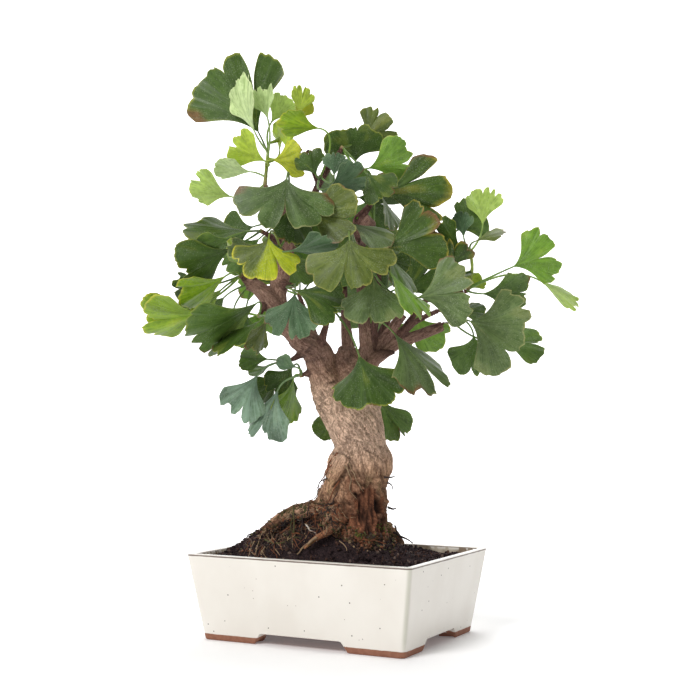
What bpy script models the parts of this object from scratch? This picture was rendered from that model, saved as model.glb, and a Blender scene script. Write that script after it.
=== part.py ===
"""Ginkgo bonsai in a glazed pot: the pot, its soil, the wood and its leafy sprays.

The pot stands square to the axes, its long side along X and its front towards -Y.
The tree was drawn from the front right, so its places are written in that drawing,
in millimetres: across to the right, up, and depth away from the viewer. A place at
a depth other than zero is moved along the line of sight, so that it stays where it
is in the drawing. The whole plant then stands with its bounding box centred on the
origin and its feet on the ground.
"""
import math
import random

import bmesh
import bpy
import numpy as np
from mathutils import Matrix, Vector
from mathutils.bvhtree import BVHTree

MM = 0.001
GAP = 0.3
BELOW_FEET = -5.0

# The drawing: where the viewer's eye is, and how far the pot is turned from it
EYE = np.array((8.4, -1073.0, 192.0))
VIEW_TURN = math.radians(27.44)

# Pot
POT_LENGTH = 202.0
POT_WIDTH = 156.0
POT_HEIGHT = 70.0
POT_TAPER = 11.0
POT_WALL = 6.5
POT_CORNER = 4.0
POT_FLOOR = 9.0
RIM_CHAMFER = 0.9
FOOT_HEIGHT = 8.5
FOOT_SLANT = 6.0
FOOT_DEPTH = 15.0
FOOT_SHARE = 0.30
DRAIN_RADIUS = 7.0
DRAIN_OFFSET = 48.0
DRAIN_SIDES = 16
INSIDE_CORNER = 1.5

# Soil
SOIL_EDGE = 62.5
MOUND_HEIGHT = 40.0
MOUND_SPREAD = 60.0
MOUND_CENTRE = (-20.0, 6.0)
SOIL_SIDE_POINTS = 6
SOIL_RINGS = 7

# Leaves
BLADE = 0.75
PETIOLE = 0.65
CLEARANCE = 0.45
LEAF_COLUMNS = 6
SHOULDER = 0.62
SHOULDER_ROUND = 5
NOTCH_WIDTH = 0.14
NOTCH_CLEAR = 0.16
FLARE_AT_BASE = 0.35
PETIOLE_BEND = 0.45
PETIOLE_SLIMMER = 0.8
PETIOLE_FACES = 18
STEM_FREE = 1.5
STEM_SPARE = 2.3

# Trunk, limbs and roots: (across, up, depth, radius)
TRUNK = ((8, 50, 0, 27), (6, 70, 0, 36), (7, 90, 1, 35), (9, 106, 1, 31), (12, 124, 0, 26.5),
         (16, 142, 0, 25.5), (17, 158, 0, 21.5), (13, 174, 0, 23.5), (9, 188, 0, 24))
STUMP = ((9, 178, 2, 17), (18, 198, 3, 19), (15, 214, 3, 17), (8, 229, 2, 13), (8, 239, 1, 8))
LEFT_LIMB = ((4, 182, 0, 20), (-8, 197, -1, 15), (-14, 214, -2, 13), (-19, 234, -3, 13),
             (-33, 246, -4, 11), (-48, 262, -4, 9.2), (-60, 280, -4, 7.6), (-70, 290, -3, 6.2),
             (-78, 292, -3, 5))
LEADER = ((-44, 258, -3, 7), (-53, 276, -1, 8), (-51, 292, 2, 8), (-46, 314, 5, 7),
          (-48, 331, 6, 5.6), (-53, 347, 6, 4), (-60, 366, 5, 2.8))
INNER_LIMB = ((-45, 316, 5, 5.5), (-30, 350, 0, 3.6), (-18, 376, -5, 3), (-8, 393, -8, 2.6))
RIGHT_STEM = ((12, 218, 0, 11), (22, 232, -5, 7.5), (20, 262, -8, 5), (17, 300, -8, 4.2),
              (14, 334, -9, 3.4), (24, 358, -10, 2.6))
LOWER_RIGHT = ((14, 216, 4, 11), (30, 232, 0, 8), (48, 243, 0, 6), (60, 247, 0, 5.2),
               (76, 253, 1, 4.8), (86, 257, 1, 4.4))
BARE_STUBS = {
    "scaly": ((24, 228, -6, 6), (36, 233, -9, 4), (46, 235, -11, 1.6)),
    "sawn": ((30, 236, -3, 5), (44, 255, -7, 4.6), (53, 267, -9, 4.2)),
    "sawn_high": ((14, 330, -9, 3), (21, 340, -12, 5), (27, 347, -15, 5.6)),
    "thin_high": ((15, 336, -9, 1.5), (12, 347, -12, 1.2), (26, 361, -14, 1.1)),
    "thin_low": ((62, 250, 0, 1.3), (85, 259, -3, 1), (94, 259, -4, 0.8)),
    "limb_spur": ((-70, 290, -4, 3.2), (-75, 304, -5, 1.9)),
    "bud_spur": ((-18, 376, -5, 2.4), (-28, 404, -3, 1.4), (-14, 398, -4, 0.9)),
    "knob": ((8, 156, -14, 5), (1, 143, -20, 8.5), (0, 132, -19, 6)),
    "burl": ((28, 150, 0, 12), (34, 143, 0, 12), (31, 132, 0, 10)),
}
ROOTS = {
    "pale": ((2, 108, -8, 10), (-16, 106, -14, 8), (-36, 102, -18, 6.5), (-50, 96, -20, 5),
             (-64, 86, -21, 3.4)),
    "orange": ((6, 94, -26, 4), (-8, 86, -38, 3.2), (-21, 79, -45, 2.4), (-30, 71, -51, 1.2)),
    "left": ((-8, 100, 2, 13), (-30, 96, 6, 9), (-52, 84, 10, 6), (-68, 72, 12, 3)),
    "right": ((20, 96, 6, 14), (38, 86, 8, 8), (52, 74, 10, 4)),
    "front": ((16, 92, -16, 13), (20, 80, -30, 8), (22, 70, -38, 4)),
    "back": ((4, 96, 14, 14), (-4, 82, 30, 8), (-8, 70, 42, 4)),
    "tap": ((6, 66, 0, 22), (2, 46, 2, 12), (-6, 34, 5, 6)),
}

# Twigs that end under each spray: the places on the wood, then the spray's own stem
TWIGS = {
    "top_shoot": (((-56, 358, 6, 2.8), (-62, 374, 4, 1.9)), ((-62, 390, 4), (-60, 412, 3))),
    "middle_spur": (((-19, 374, -5, 2.6), (-17, 381, -10, 2)), ()),
    "upper_spur": (((-9, 390, -8, 2.6), (1, 406, -9, 2)), ()),
    "upper_right": (((23, 355, -10, 2.6), (31, 369, -14, 1.9)), ()),
    "right_stem": (((26, 230, -6, 3), (31, 268, -13, 2.4), (34, 317, -21, 1.9)), ()),
    "heart": (((15, 312, -9, 3.2), (13, 325, -22, 2)), ()),
    "left_crown": (((-50, 338, 5, 3), (-46, 352, -5, 2.4), (-43, 364, -14, 1.9)), ()),
    "centre": (((-47, 314, 2, 4), (-50, 322, -15, 2)), ()),
    "left_upper": (((-48, 324, 5, 4), (-58, 332, -4, 2.6), (-65, 336, -9, 1.9)), ()),
    "limb_end": (((-74, 290, -3, 4), (-82, 298, -4, 2.4)), ()),
    "limb_low": (((-60, 280, -4, 4), (-67, 267, -13, 2)), ()),
    "fork": (((-50, 292, 0, 5), (-40, 291, -15, 2)), ()),
    "neck_left": (((-25, 238, -4, 5), (-41, 228, -6, 2)), ()),
    "neck_low": (((-16, 220, -4, 6), (-31, 216, -8, 2)), ()),
    "front": (((-18, 236, -8, 5), (-12, 256, -17, 2.6), (-8, 270, -21, 1.9)), ()),
    "forward": (((29, 252, -10, 2.6), (29, 284, -22, 2.2), (28, 301, -30, 1.9)), ()),
    "right_low": (((48, 246, -2, 4), (60, 258, -8, 2.8), (70, 264, -12, 2.4), (83, 270, -14, 2)),
                  ()),
    "right_far": (((46, 244, 2, 4), (62, 266, 3, 2.6), (67, 276, 3, 2.2), (90, 282, 1, 2),
                   (104, 286, 0, 1.8)), ((109, 293, 0), (111, 307, 0), (109, 322, 1))),
    "trunk_back": (((16, 200, 12, 5), (24, 208, 30, 2)), ()),
    "back_left": (((-50, 328, 8, 4), (-52, 340, 30, 2.4), (-52, 344, 46, 1.9)), ()),
    "back_top": (((-31, 348, 2, 3.4), (-20, 362, 22, 2.4), (-8, 370, 40, 1.9)), ()),
    "back_right": (((15, 318, -6, 3.6), (22, 332, 24, 2.6), (28, 342, 52, 1.9)), ()),
    "back_far": (((24, 228, 8, 5), (40, 262, 30, 3), (54, 290, 50, 1.9)), ()),
    "back_limb": (((-50, 266, 0, 5), (-66, 280, 24, 2.8), (-73, 292, 44, 1.9)), ()),
    "back_low": (((14, 216, 12, 7), (26, 244, 38, 3), (32, 268, 60, 1.9)), ()),
    "back_neck": (((-20, 240, 6, 6), (-27, 262, 38, 3), (-34, 282, 62, 1.9)), ()),
    "back_heart": (((8, 228, 8, 7), (4, 270, 46, 3.4), (4, 316, 80, 1.9)), ()),
}
STUB = 3.0

# Leaves: spray, place on its stem 0 to 1, leaf base across, up, depth, then the way the
# blade points, its pitch towards the viewer and its roll in degrees, its length, its
# half spread, droop and cup in degrees, and its notches as (place -1 to 1, depth 0 to 1)
LEAVES = (
    ("top_shoot", .75, -69, 421, 8, 118, 0, 0, 67, 52, 6, 8, ((-.04, .16), (.42, .58))),
    ("top_shoot", .80, -72, 421, -8, 115, 8, 66, 46, 48, 10, 12, ()),
    ("top_shoot", .70, -61, 432, -14, 104, 6, 48, 28, 46, 8, -14, ((.1, .14),)),
    ("top_shoot", .90, -58, 429, -8, 56, 8, -40, 26, 46, 10, 12, ()),
    ("top_shoot", 1.0, -35, 436, 4, 80, 0, -34, 24, 42, 6, -14, ((.0, .34),)),
    ("top_shoot", 1.0, -39, 428, 12, 92, 52, 0, 24, 62, 8, 10, ((.05, .3),)),
    ("top_shoot", .55, -51, 404, 12, 88, 0, 68, 30, 44, 6, -10, ()),
    ("top_shoot", .65, -44, 404, 3, 94, 6, 56, 23, 44, 6, 12, ()),
    ("top_shoot", .45, -63, 396, -10, 155, 10, 50, 33, 46, 16, 14, ((-.1, .34),)),
    ("top_shoot", .40, -57, 397, -12, -3, 14, -38, 28, 48, 14, 12, ((.3, .2),)),
    ("top_shoot", .20, -75, 387, 0, 176, 8, 70, 29, 46, 6, 12, ()),
    ("top_shoot", .05, -92, 366, 2, 163, 0, 54, 35, 46, 8, 10, ((.2, .2),)),
    ("middle_spur", .7, -18, 424, -4, 175, 0, 62, 33, 46, 8, 16, ()),
    ("middle_spur", .6, -20, 384, 6, 115, 10, 0, 22, 50, 6, 10, ((.1, .2),)),
    ("middle_spur", .9, -5, 384, -36, 86, 6, 0, 19, 48, 6, 36, ((.0, .2),)),
    ("middle_spur", .8, -10, 373, -38, 20, 10, -48, 33, 46, 10, 18, ((.1, .26),)),
    ("upper_spur", .8, 19, 416, 5, 38, 0, 0, 28, 58, 6, 10, ((-.3, .3), (.35, .3))),
    ("upper_spur", .7, 13, 396, 10, 95, 40, 0, 32, 70, 8, 10, ((.1, .2),)),
    ("upper_spur", .9, 24, 390, -15, 15, 8, -30, 37, 46, 10, 16, ((.2, .22),)),
    ("upper_spur", .6, 22, 386, -27, -50, 12, 0, 27, 50, 10, 12, ((.1, .2),)),
    ("upper_right", .8, 36, 369, -12, 3, 4, 0, 54, 48, 8, 8, ((-.42, .62), (.4, .16))),
    ("upper_right", .5, 35, 366, -4, -62, 6, 66, 32, 44, 8, 12, ()),
    ("right_stem", .8, 38, 322, -30, 20, 8, 0, 51, 46, 10, 10, ((.05, .22), (-.5, .14))),
    ("right_stem", .5, 36, 314, -12, -20, 0, 30, 24, 44, 10, 12, ()),
    ("right_stem", .6, 39, 318, -28, -57, 8, 68, 43, 46, 8, 12, ()),
    ("heart", .6, 10, 343, -40, -25, 12, 54, 36, 46, 10, 16, ()),
    ("heart", .9, 8, 330, -70, -85, 22, 0, 45, 74, 14, 10, ((.18, .5), (-.38, .22))),
    ("left_crown", .9, -45, 381, -58, -95, 28, 0, 50, 76, 14, 8,
     ((-.04, .6), (.4, .26), (-.6, .2))),
    ("left_crown", .5, -42, 360, -44, -80, 14, 40, 35, 46, 10, 12, ()),
    ("left_crown", .8, -31, 352, -52, -5, 14, 0, 45, 46, 12, 12, ((.1, .3),)),
    ("centre", .6, -28, 346, -30, -92, 4, 34, 24, 46, 8, 12, ()),
    ("centre", .8, -42, 320, -56, 5, 10, -66, 39, 46, 10, 14, ()),
    ("centre", .9, -60, 331, -52, -98, 16, 0, 36, 68, 12, 12, ((-.42, .6), (.5, .2))),
    ("centre", .4, -72, 325, -36, 194, 6, 60, 22, 46, 8, 14, ()),
    ("left_upper", .8, -79, 337, -12, 180, 4, -56, 50, 48, 8, 12, ((.1, .2),)),
    ("left_upper", .6, -95, 331, -30, 203, 6, 50, 25, 46, 8, 12, ()),
    ("left_upper", .9, -92, 322, -22, 207, 6, 50, 46, 46, 10, 12, ((-.2, .2),)),
    ("limb_end", .9, -79, 306, 5, 128, 0, 55, 26, 44, 6, 12, ()),
    ("limb_end", .7, -96, 299, -25, 215, 6, 64, 43, 46, 8, 12, ()),
    ("limb_end", .5, -110, 291, 6, 190, 0, 48, 30, 46, 8, 12, ((.1, .2),)),
    ("limb_end", .4, -99, 288, 0, 222, 4, 66, 31, 46, 8, 12, ()),
    ("limb_end", .8, -130, 271, -10, 190, 6, 48, 34, 46, 10, 12, ((.0, .2),)),
    ("limb_low", .8, -116, 268, -20, 192, 6, 55, 49, 50, 8, 12, ((-.1, .34),)),
    ("limb_low", .6, -70, 276, -27, 217, 4, 62, 62, 48, 8, 10, ((.1, .2),)),
    ("limb_low", .5, -66, 262, -34, 214, 8, -68, 46, 48, 8, 10, ()),
    ("limb_low", .9, -62, 262, -6, 250, 6, 60, 29, 46, 8, 12, ((.1, .24),)),
    ("fork", .8, -38, 287, -46, -15, 10, 44, 43, 48, 10, 12, ((.1, .2),)),
    ("fork", .6, -38, 284, -39, -95, 12, 0, 36, 54, 10, 14, ((.14, .46),)),
    ("neck_left", .8, -60, 229, 8, 175, 0, -34, 23, 46, 8, 12, ()),
    ("neck_left", .5, -58, 224, 20, 205, 0, 72, 19, 46, 6, 8, ()),
    ("neck_left", .9, -69, 216, -6, 240, 8, -22, 38, 44, 10, 12, ((-.1, .26),)),
    ("neck_left", .6, -50, 214, 24, 218, 4, 48, 26, 46, 8, 12, ()),
    ("neck_low", .8, -52, 203, -14, 250, 8, -40, 43, 46, 10, 12, ((.1, .3),)),
    ("neck_low", .5, -40, 222, 22, 236, 6, 0, 27, 50, 8, 10, ((.1, .2),)),
    ("neck_low", .6, -36, 222, -20, 160, 6, 50, 17, 46, 6, 12, ()),
    ("neck_low", .9, -39, 212, 8, 262, 6, 62, 38, 46, 8, 10, ((-.1, .2),)),
    ("front", .9, 16, 232, -46, -74, 8, 0, 46, 56, 8, 10, ((.02, .24), (-.5, .12))),
    ("front", .7, 46, 250, -40, -52, 10, 54, 60, 48, 8, 12, ((-.1, .44),)),
    ("forward", .9, 28, 298, -58, -90, 14, 0, 39, 54, 12, 10, ((.1, .24),)),
    ("forward", .6, 41, 303, -60, -50, 14, 70, 49, 46, 8, 12, ()),
    ("forward", .8, 66, 281, -46, 10, 12, 0, 46, 52, 12, 12, ((.06, .4),)),
    ("trunk_back", .8, 33, 196, 38, -60, 0, 40, 38, 46, 8, 12, ((.0, .3),)),
    ("trunk_back", .5, -1, 179, 38, 212, 0, 30, 22, 46, 8, 12, ()),
    ("right_low", .9, 112, 248, -14, -88, 8, 0, 31, 68, 10, 12, ((.1, .26),)),
    ("right_low", .6, 109, 261, -28, -20, 10, 0, 48, 66, 12, 12, ((.3, .24),)),
    ("right_low", .8, 135, 243, 12, 0, 0, 34, 35, 46, 8, 12, ((.0, .34),)),
    ("right_low", .5, 98, 268, 0, 5, 0, 50, 24, 44, 6, 12, ()),
    ("right_far", .02, 120, 284, -12, -2, 6, -44, 39, 46, 10, 12, ((.0, .26),)),
    ("right_far", .10, 146, 307, -5, 23, 6, 0, 37, 54, 8, 10, ((.1, .46), (-.5, .14))),
    ("right_far", .06, 168, 295, 2, -30, 0, 62, 37, 44, 8, 10, ((.2, .2),)),
    ("right_far", .15, 109, 288, 12, 60, 30, 0, 15, 60, 6, 10, ()),
    ("right_far", .30, 92, 304, 8, 110, 10, 40, 22, 46, 6, 12, ((.1, .3),)),
    ("right_far", .95, 120, 342, 0, 88, 4, 38, 31, 46, 8, 12, ((-.1, .2),)),
    ("right_far", .90, 98, 337, 8, 40, 4, 0, 28, 56, 8, 12, ()),
    ("right_far", .98, 104, 332, 14, 96, 4, 42, 20, 46, 6, 12, ()),
    ("right_far", .97, 113, 328, -8, 22, 4, 68, 28, 46, 6, 12, ()),
    ("right_far", .80, 103, 320, -9, 150, 6, 28, 33, 46, 8, 12, ((.1, .2),)),
    ("right_far", .50, 95, 306, -14, 96, 36, 0, 24, 72, 8, 12, ((.1, .5),)),
    ("right_far", .12, 97, 298, -6, 15, 4, 68, 15, 44, 4, 8, ()),
)

# Sprays at the back, drawn by rule: spray, first and last way that a leaf points, leaves
BACK_SPRAYS = (
    ("back_left", 175, 330, 4), ("back_top", 195, 370, 5), ("back_right", 70, 300, 5),
    ("back_far", 140, 300, 4), ("back_limb", 195, 300, 4), ("back_low", 30, 170, 4),
    ("back_neck", 40, 170, 4), ("back_heart", 0, 360, 6),
)
BACK_LENGTH = (34.0, 46.0)
BACK_PETIOLE = (20.0, 30.0)
BACK_FLATTER = 0.8
BACK_DEPTH = (2, 14)
BACK_TURN = 15
BACK_PITCH = (-50, -15)
BACK_ROLL = 25
BACK_SPREAD = (44, 66)
BACK_DROOP = 8
BACK_CUP = 10
BACK_NOTCH = ((-0.2, 0.2), (0.2, 0.5))
SEED = 7

# How far a leaf may be tilted (pitch, roll) and moved in depth to find a clear place
TILTS = ((0, 0), (-10, 0), (10, 0), (0, 12), (0, -12), (-20, 0), (20, 0), (0, 24), (0, -24))
SHIFTS = (0, -5, 5, -10, 10, -15, 15, -20, 20, 26, -26, 32)

WOOD_SIDES = 11
TWIG_SIDES = 6
FINE_SIDES = 5
FINE_RADIUS = 4.5
WOOD_RADIUS = 7
STEM_SIDES = 5
STEM_TIP = 1.3
STEM_TAPER = 0.9


def clear_scene():
    for thing in list(bpy.data.objects):
        bpy.data.objects.remove(thing)


def material(name, colour, roughness, metallic=0.0):
    made = bpy.data.materials.new(name)
    made.use_nodes = True
    shader = made.node_tree.nodes["Principled BSDF"]
    shader.inputs["Base Color"].default_value = (*colour, 1.0)
    shader.inputs["Roughness"].default_value = roughness
    shader.inputs["Metallic"].default_value = metallic
    return made


def new_object(name, verts, faces, made):
    """One object from points in millimetres."""
    mesh = bpy.data.meshes.new(name)
    mesh.from_pydata([Vector(v) * MM for v in verts], [], faces)
    mesh.validate()
    shape = bmesh.new()
    shape.from_mesh(mesh)
    bmesh.ops.recalc_face_normals(shape, faces=shape.faces)
    if shape.calc_volume(signed=True) < 0:
        bmesh.ops.reverse_faces(shape, faces=shape.faces)
    shape.to_mesh(mesh)
    shape.free()
    thing = bpy.data.objects.new(name, mesh)
    thing.data.materials.append(made)
    bpy.context.collection.objects.link(thing)
    return thing


def to_pot(points):
    """Turn points from the drawing's axes (right, away, up) to the pot's axes."""
    points = np.asarray(points, float)
    cosine, sine = math.cos(VIEW_TURN), math.sin(VIEW_TURN)
    turned = np.array(points)
    turned[..., 0] = cosine * points[..., 0] - sine * points[..., 1]
    turned[..., 1] = sine * points[..., 0] + cosine * points[..., 1]
    return turned


def place(across, up, depth):
    """A place in the drawing, moved along the line of sight to its depth."""
    flat = np.array((across, 0.0, up), float)
    return EYE + (flat - EYE) * (1.0 + depth / -EYE[1])


def unit(vector):
    return vector / np.linalg.norm(vector)


def smooth_path(points, steps):
    """A Catmull-Rom curve through the points, with their radii carried along."""
    points = np.asarray(points, float)
    ends = np.vstack((2 * points[0] - points[1], points, 2 * points[-1] - points[-2]))
    run = []
    for index in range(1, len(ends) - 2):
        a, b, c, d = ends[index - 1:index + 3]
        for step in range(steps):
            t = step / steps
            run.append(0.5 * (2 * b + (c - a) * t + (2 * a - 5 * b + 4 * c - d) * t * t
                              + (3 * b - a - 3 * c + d) * t ** 3))
    run.append(ends[-2])
    return np.array(run)


def tube(path, radii, sides):
    """A closed tube along a path, its ends flat, as points and faces."""
    path = np.asarray(path, float)
    tangents = np.gradient(path, axis=0)
    side = np.cross(tangents[0], (0.3, 0.9, 0.2))
    verts = []
    faces = []
    for index, centre in enumerate(path):
        along = unit(tangents[index])
        side = unit(side - along * np.dot(side, along))
        other = np.cross(along, side)
        for step in range(sides):
            angle = 2 * math.pi * step / sides
            spoke = side * math.cos(angle) + other * math.sin(angle)
            verts.append(centre + spoke * radii[index])
        if index:
            low, high = (index - 1) * sides, index * sides
            for step in range(sides):
                nxt = (step + 1) % sides
                faces.append((low + step, low + nxt, high + nxt, high + step))
    faces.append(tuple(reversed(range(sides))))
    faces.append(tuple(range(len(verts) - sides, len(verts))))
    return verts, faces


def limb(points, extra=0.0, trim=0.0, steps=2):
    """The tube of one limb, root or twig, given by (across, up, depth, radius)."""
    places = [(*to_pot(place(a, u, d)), r) for a, u, d, r in points]
    if trim:
        last, before = np.array(places[-1]), np.array(places[-2])
        pull = unit(last[:3] - before[:3]) * trim
        places[-1] = (*(last[:3] - pull), last[3])
    run = smooth_path(places, steps)
    radius = np.max(run[:, 3])
    sides = WOOD_SIDES if radius > WOOD_RADIUS else TWIG_SIDES if radius > FINE_RADIUS else FINE_SIDES
    return tube(run[:, :3], run[:, 3] + extra, sides)


def union(name, shapes, made):
    """One body from many overlapping closed shapes, by one Boolean on a collection."""
    group = bpy.data.collections.new(name + "_shapes")
    bpy.context.scene.collection.children.link(group)
    for index, (verts, faces) in enumerate(shapes[1:]):
        piece = new_object(f"{name}_{index}", verts, faces, made)
        bpy.context.collection.objects.unlink(piece)
        group.objects.link(piece)
    body = new_object(name, *shapes[0], made)
    joined = body.modifiers.new("join", "BOOLEAN")
    joined.operation = "UNION"
    joined.operand_type = "COLLECTION"
    joined.collection = group
    joined.solver = "MANIFOLD"
    apply_modifiers(body)
    for piece in list(group.objects):
        bpy.data.objects.remove(piece)
    bpy.data.collections.remove(group)
    keep_one_body(body)
    return body


def keep_one_body(thing):
    """Drop loose scraps and fill hollows that the union sealed."""
    shape = bmesh.new()
    shape.from_mesh(thing.data)
    waiting = set(shape.faces)
    bodies = []
    while waiting:
        body = {waiting.pop()}
        front = list(body)
        while front:
            near = {face for edge in front.pop().edges for face in edge.link_faces} & waiting
            waiting -= near
            body |= near
            front += near
        bodies.append(body)
    for body in sorted(bodies, key=len)[:-1]:
        bmesh.ops.delete(shape, geom=list(body), context="FACES")
    shape.to_mesh(thing.data)
    shape.free()


def apply_modifiers(thing):
    """Replace an object's mesh by its evaluated mesh."""
    bpy.context.view_layer.update()
    graph = bpy.context.evaluated_depsgraph_get()
    mesh = bpy.data.meshes.new_from_object(thing.evaluated_get(graph))
    thing.modifiers.clear()
    thing.data = mesh


def subtract(body, cutter):
    cut = body.modifiers.new("cut", "BOOLEAN")
    cut.operation = "DIFFERENCE"
    cut.object = cutter
    cut.solver = "MANIFOLD"
    apply_modifiers(body)
    bpy.data.objects.remove(cutter)


def wood_shapes(extra=0.0, buried_only=False):
    """Tubes of the trunk, limbs, roots and twigs, with extra added to each radius."""
    shapes = [limb(TRUNK, extra)]
    shapes += [limb(points, extra) for points in ROOTS.values()]
    if buried_only:
        return shapes
    shapes += [limb(points) for points in (STUMP, LEFT_LIMB, LEADER, INNER_LIMB)]
    shapes += [limb(points) for points in (RIGHT_STEM, LOWER_RIGHT)]
    shapes += [limb(points) for points in BARE_STUBS.values()]
    shapes += [limb(points, trim=GAP) for points, _ in TWIGS.values()]
    return shapes


def rounded_ring(length, width, corner, height, arc=4, between=0):
    """Points round a rectangle with round corners, anticlockwise seen from above."""
    ring = []
    for turn, (sx, sy) in enumerate(((1, 1), (-1, 1), (-1, -1), (1, -1))):
        for step in range(arc + 1):
            angle = math.pi / 2 * (turn + step / arc)
            ring.append(np.array((sx * (length / 2 - corner) + corner * math.cos(angle),
                                  sy * (width / 2 - corner) + corner * math.sin(angle),
                                  height)))
    if not between:
        return ring
    filled = []
    for index, point in enumerate(ring):
        filled.append(point)
        if index % (arc + 1) == arc:
            ahead = ring[(index + 1) % len(ring)]
            filled += [point + (ahead - point) * k / (between + 1)
                       for k in range(1, between + 1)]
    return filled


def loft(rings):
    """A closed shape through rings of equally many points, its two ends flat."""
    count = len(rings[0])
    verts = [point for ring in rings for point in ring]
    faces = [tuple(reversed(range(count))), tuple(range(len(verts) - count, len(verts)))]
    for index in range(len(rings) - 1):
        low, high = index * count, (index + 1) * count
        for step in range(count):
            nxt = (step + 1) % count
            faces.append((low + step, low + nxt, high + nxt, high + step))
    return verts, faces


def pot_inset(height):
    """How far the tapered outer wall stands in from the rim at a height."""
    return POT_TAPER * (1 - height / POT_HEIGHT)


def pot_ring(height, inward=0.0, **more):
    inset = pot_inset(height) + inward
    corner = max(POT_CORNER - 0.3 * inward, INSIDE_CORNER)
    return rounded_ring(POT_LENGTH - 2 * inset, POT_WIDTH - 2 * inset, corner, height, **more)


def foot_gap(along_x):
    """The cutter of the gap between two feet, its ends slanted, right through one side."""
    foot_length = (POT_LENGTH if along_x else POT_WIDTH) - 2 * POT_TAPER
    half = foot_length * (0.5 - FOOT_SHARE)
    reach = POT_WIDTH if along_x else POT_LENGTH
    profile = ((-half - FOOT_SLANT, BELOW_FEET), (half + FOOT_SLANT, BELOW_FEET),
               (half, FOOT_HEIGHT), (-half, FOOT_HEIGHT))
    verts = []
    for run in (-reach, reach):
        for across, height in profile:
            verts.append((across, run, height) if along_x else (run, across, height))
    faces = [(0, 1, 2, 3), (7, 6, 5, 4), (0, 4, 5, 1), (1, 5, 6, 2), (2, 6, 7, 3), (3, 7, 4, 0)]
    return verts, faces


def make_pot():
    """Tapered walls, a floor with two drain holes, and four corner feet."""
    glaze = material("glaze", (0.86, 0.85, 0.81), 0.25)
    outer = [pot_ring(0.0), pot_ring(POT_HEIGHT - RIM_CHAMFER),
             pot_ring(POT_HEIGHT, RIM_CHAMFER)]
    inner = [pot_ring(POT_HEIGHT, POT_WALL - RIM_CHAMFER),
             pot_ring(POT_HEIGHT - RIM_CHAMFER, POT_WALL),
             pot_ring(FOOT_HEIGHT + POT_FLOOR, POT_WALL)]
    pot = new_object("pot", *loft(outer + inner), glaze)
    under = loft([pot_ring(BELOW_FEET, FOOT_DEPTH), pot_ring(FOOT_HEIGHT, FOOT_DEPTH)])
    holes = [drain_hole(-DRAIN_OFFSET), drain_hole(DRAIN_OFFSET)]
    cutter = union("under", [under, foot_gap(True), foot_gap(False)] + holes, glaze)
    subtract(pot, cutter)
    return pot


def drain_hole(across):
    low = [(across + DRAIN_RADIUS * math.cos(a), DRAIN_RADIUS * math.sin(a))
           for a in np.linspace(0, 2 * math.pi, DRAIN_SIDES, endpoint=False)]
    bottom, top = BELOW_FEET + 1, FOOT_HEIGHT + POT_FLOOR + 5
    return loft([[(x, y, bottom) for x, y in low], [(x, y, top) for x, y in low]])


def soil_height(x, y):
    """The soil's surface: level near the walls, with a mound under the trunk."""
    far = np.hypot(x - MOUND_CENTRE[0], (y - MOUND_CENTRE[1]) * 1.12)
    mound = MOUND_HEIGHT * np.exp(-(far / MOUND_SPREAD) ** 3)
    rough = np.sin(0.21 * x + 1.3) * np.cos(0.17 * y) + 0.6 * np.sin(0.43 * x - 0.31 * y)
    return SOIL_EDGE + mound + 0.9 * rough


def make_soil():
    """A mound that fills the pot, with the roots' hole in it."""
    earth = material("soil", (0.035, 0.022, 0.016), 0.95)
    base = FOOT_HEIGHT + POT_FLOOR + GAP
    edge = pot_ring(SOIL_EDGE, POT_WALL + GAP, arc=2, between=SOIL_SIDE_POINTS)
    rings = [pot_ring(base, POT_WALL + GAP, arc=2, between=SOIL_SIDE_POINTS)]
    centre = np.array(MOUND_CENTRE)
    for step in range(SOIL_RINGS):
        share = 1 - step / SOIL_RINGS
        ring = []
        for x, y, _ in edge:
            px, py = centre + (np.array((x, y)) - centre) * share
            ring.append((px, py, SOIL_EDGE if step == 0 else soil_height(px, py)))
        rings.append(ring)
    soil = new_object("soil", *loft(rings), earth)
    subtract(soil, union("roots_hole", wood_shapes(GAP, buried_only=True), earth))
    return soil


def blade_frame(aim, pitch, roll):
    """Side, mid-line and normal of a blade, in the drawing's axes (right, away, up)."""
    aim, pitch, roll = (math.radians(angle) for angle in (aim, pitch, roll))
    viewer = np.array((0.0, -1.0, 0.0))
    middle = np.array((math.cos(aim), 0.0, math.sin(aim)))
    side = np.array((math.sin(aim), 0.0, -math.cos(aim)))
    middle, normal = (middle * math.cos(pitch) + viewer * math.sin(pitch),
                      viewer * math.cos(pitch) - middle * math.sin(pitch))
    side, normal = (side * math.cos(roll) + normal * math.sin(roll),
                    normal * math.cos(roll) - side * math.sin(roll))
    return side, middle, normal


def margin(u, notches):
    """The fan's outer edge as a share of its length: round shoulders, cut by notches."""
    edge = 1 - (1 - SHOULDER) * np.abs(u) ** SHOULDER_ROUND
    for where, depth in notches:
        near = np.clip(np.abs(u - where) / NOTCH_WIDTH, 0, 1)
        edge = edge * (1 - depth * (1 - np.sqrt(near)))
    return edge


def leaf_columns(notches):
    """Places across the fan, with three extra at each notch."""
    places = set(np.round(np.linspace(-1, 1, LEAF_COLUMNS), 3))
    for where, _ in notches:
        places = {u for u in places if abs(u - where) > NOTCH_CLEAR}
        places |= {where - NOTCH_WIDTH, where, where + NOTCH_WIDTH}
    return np.array(sorted(places))


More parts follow.
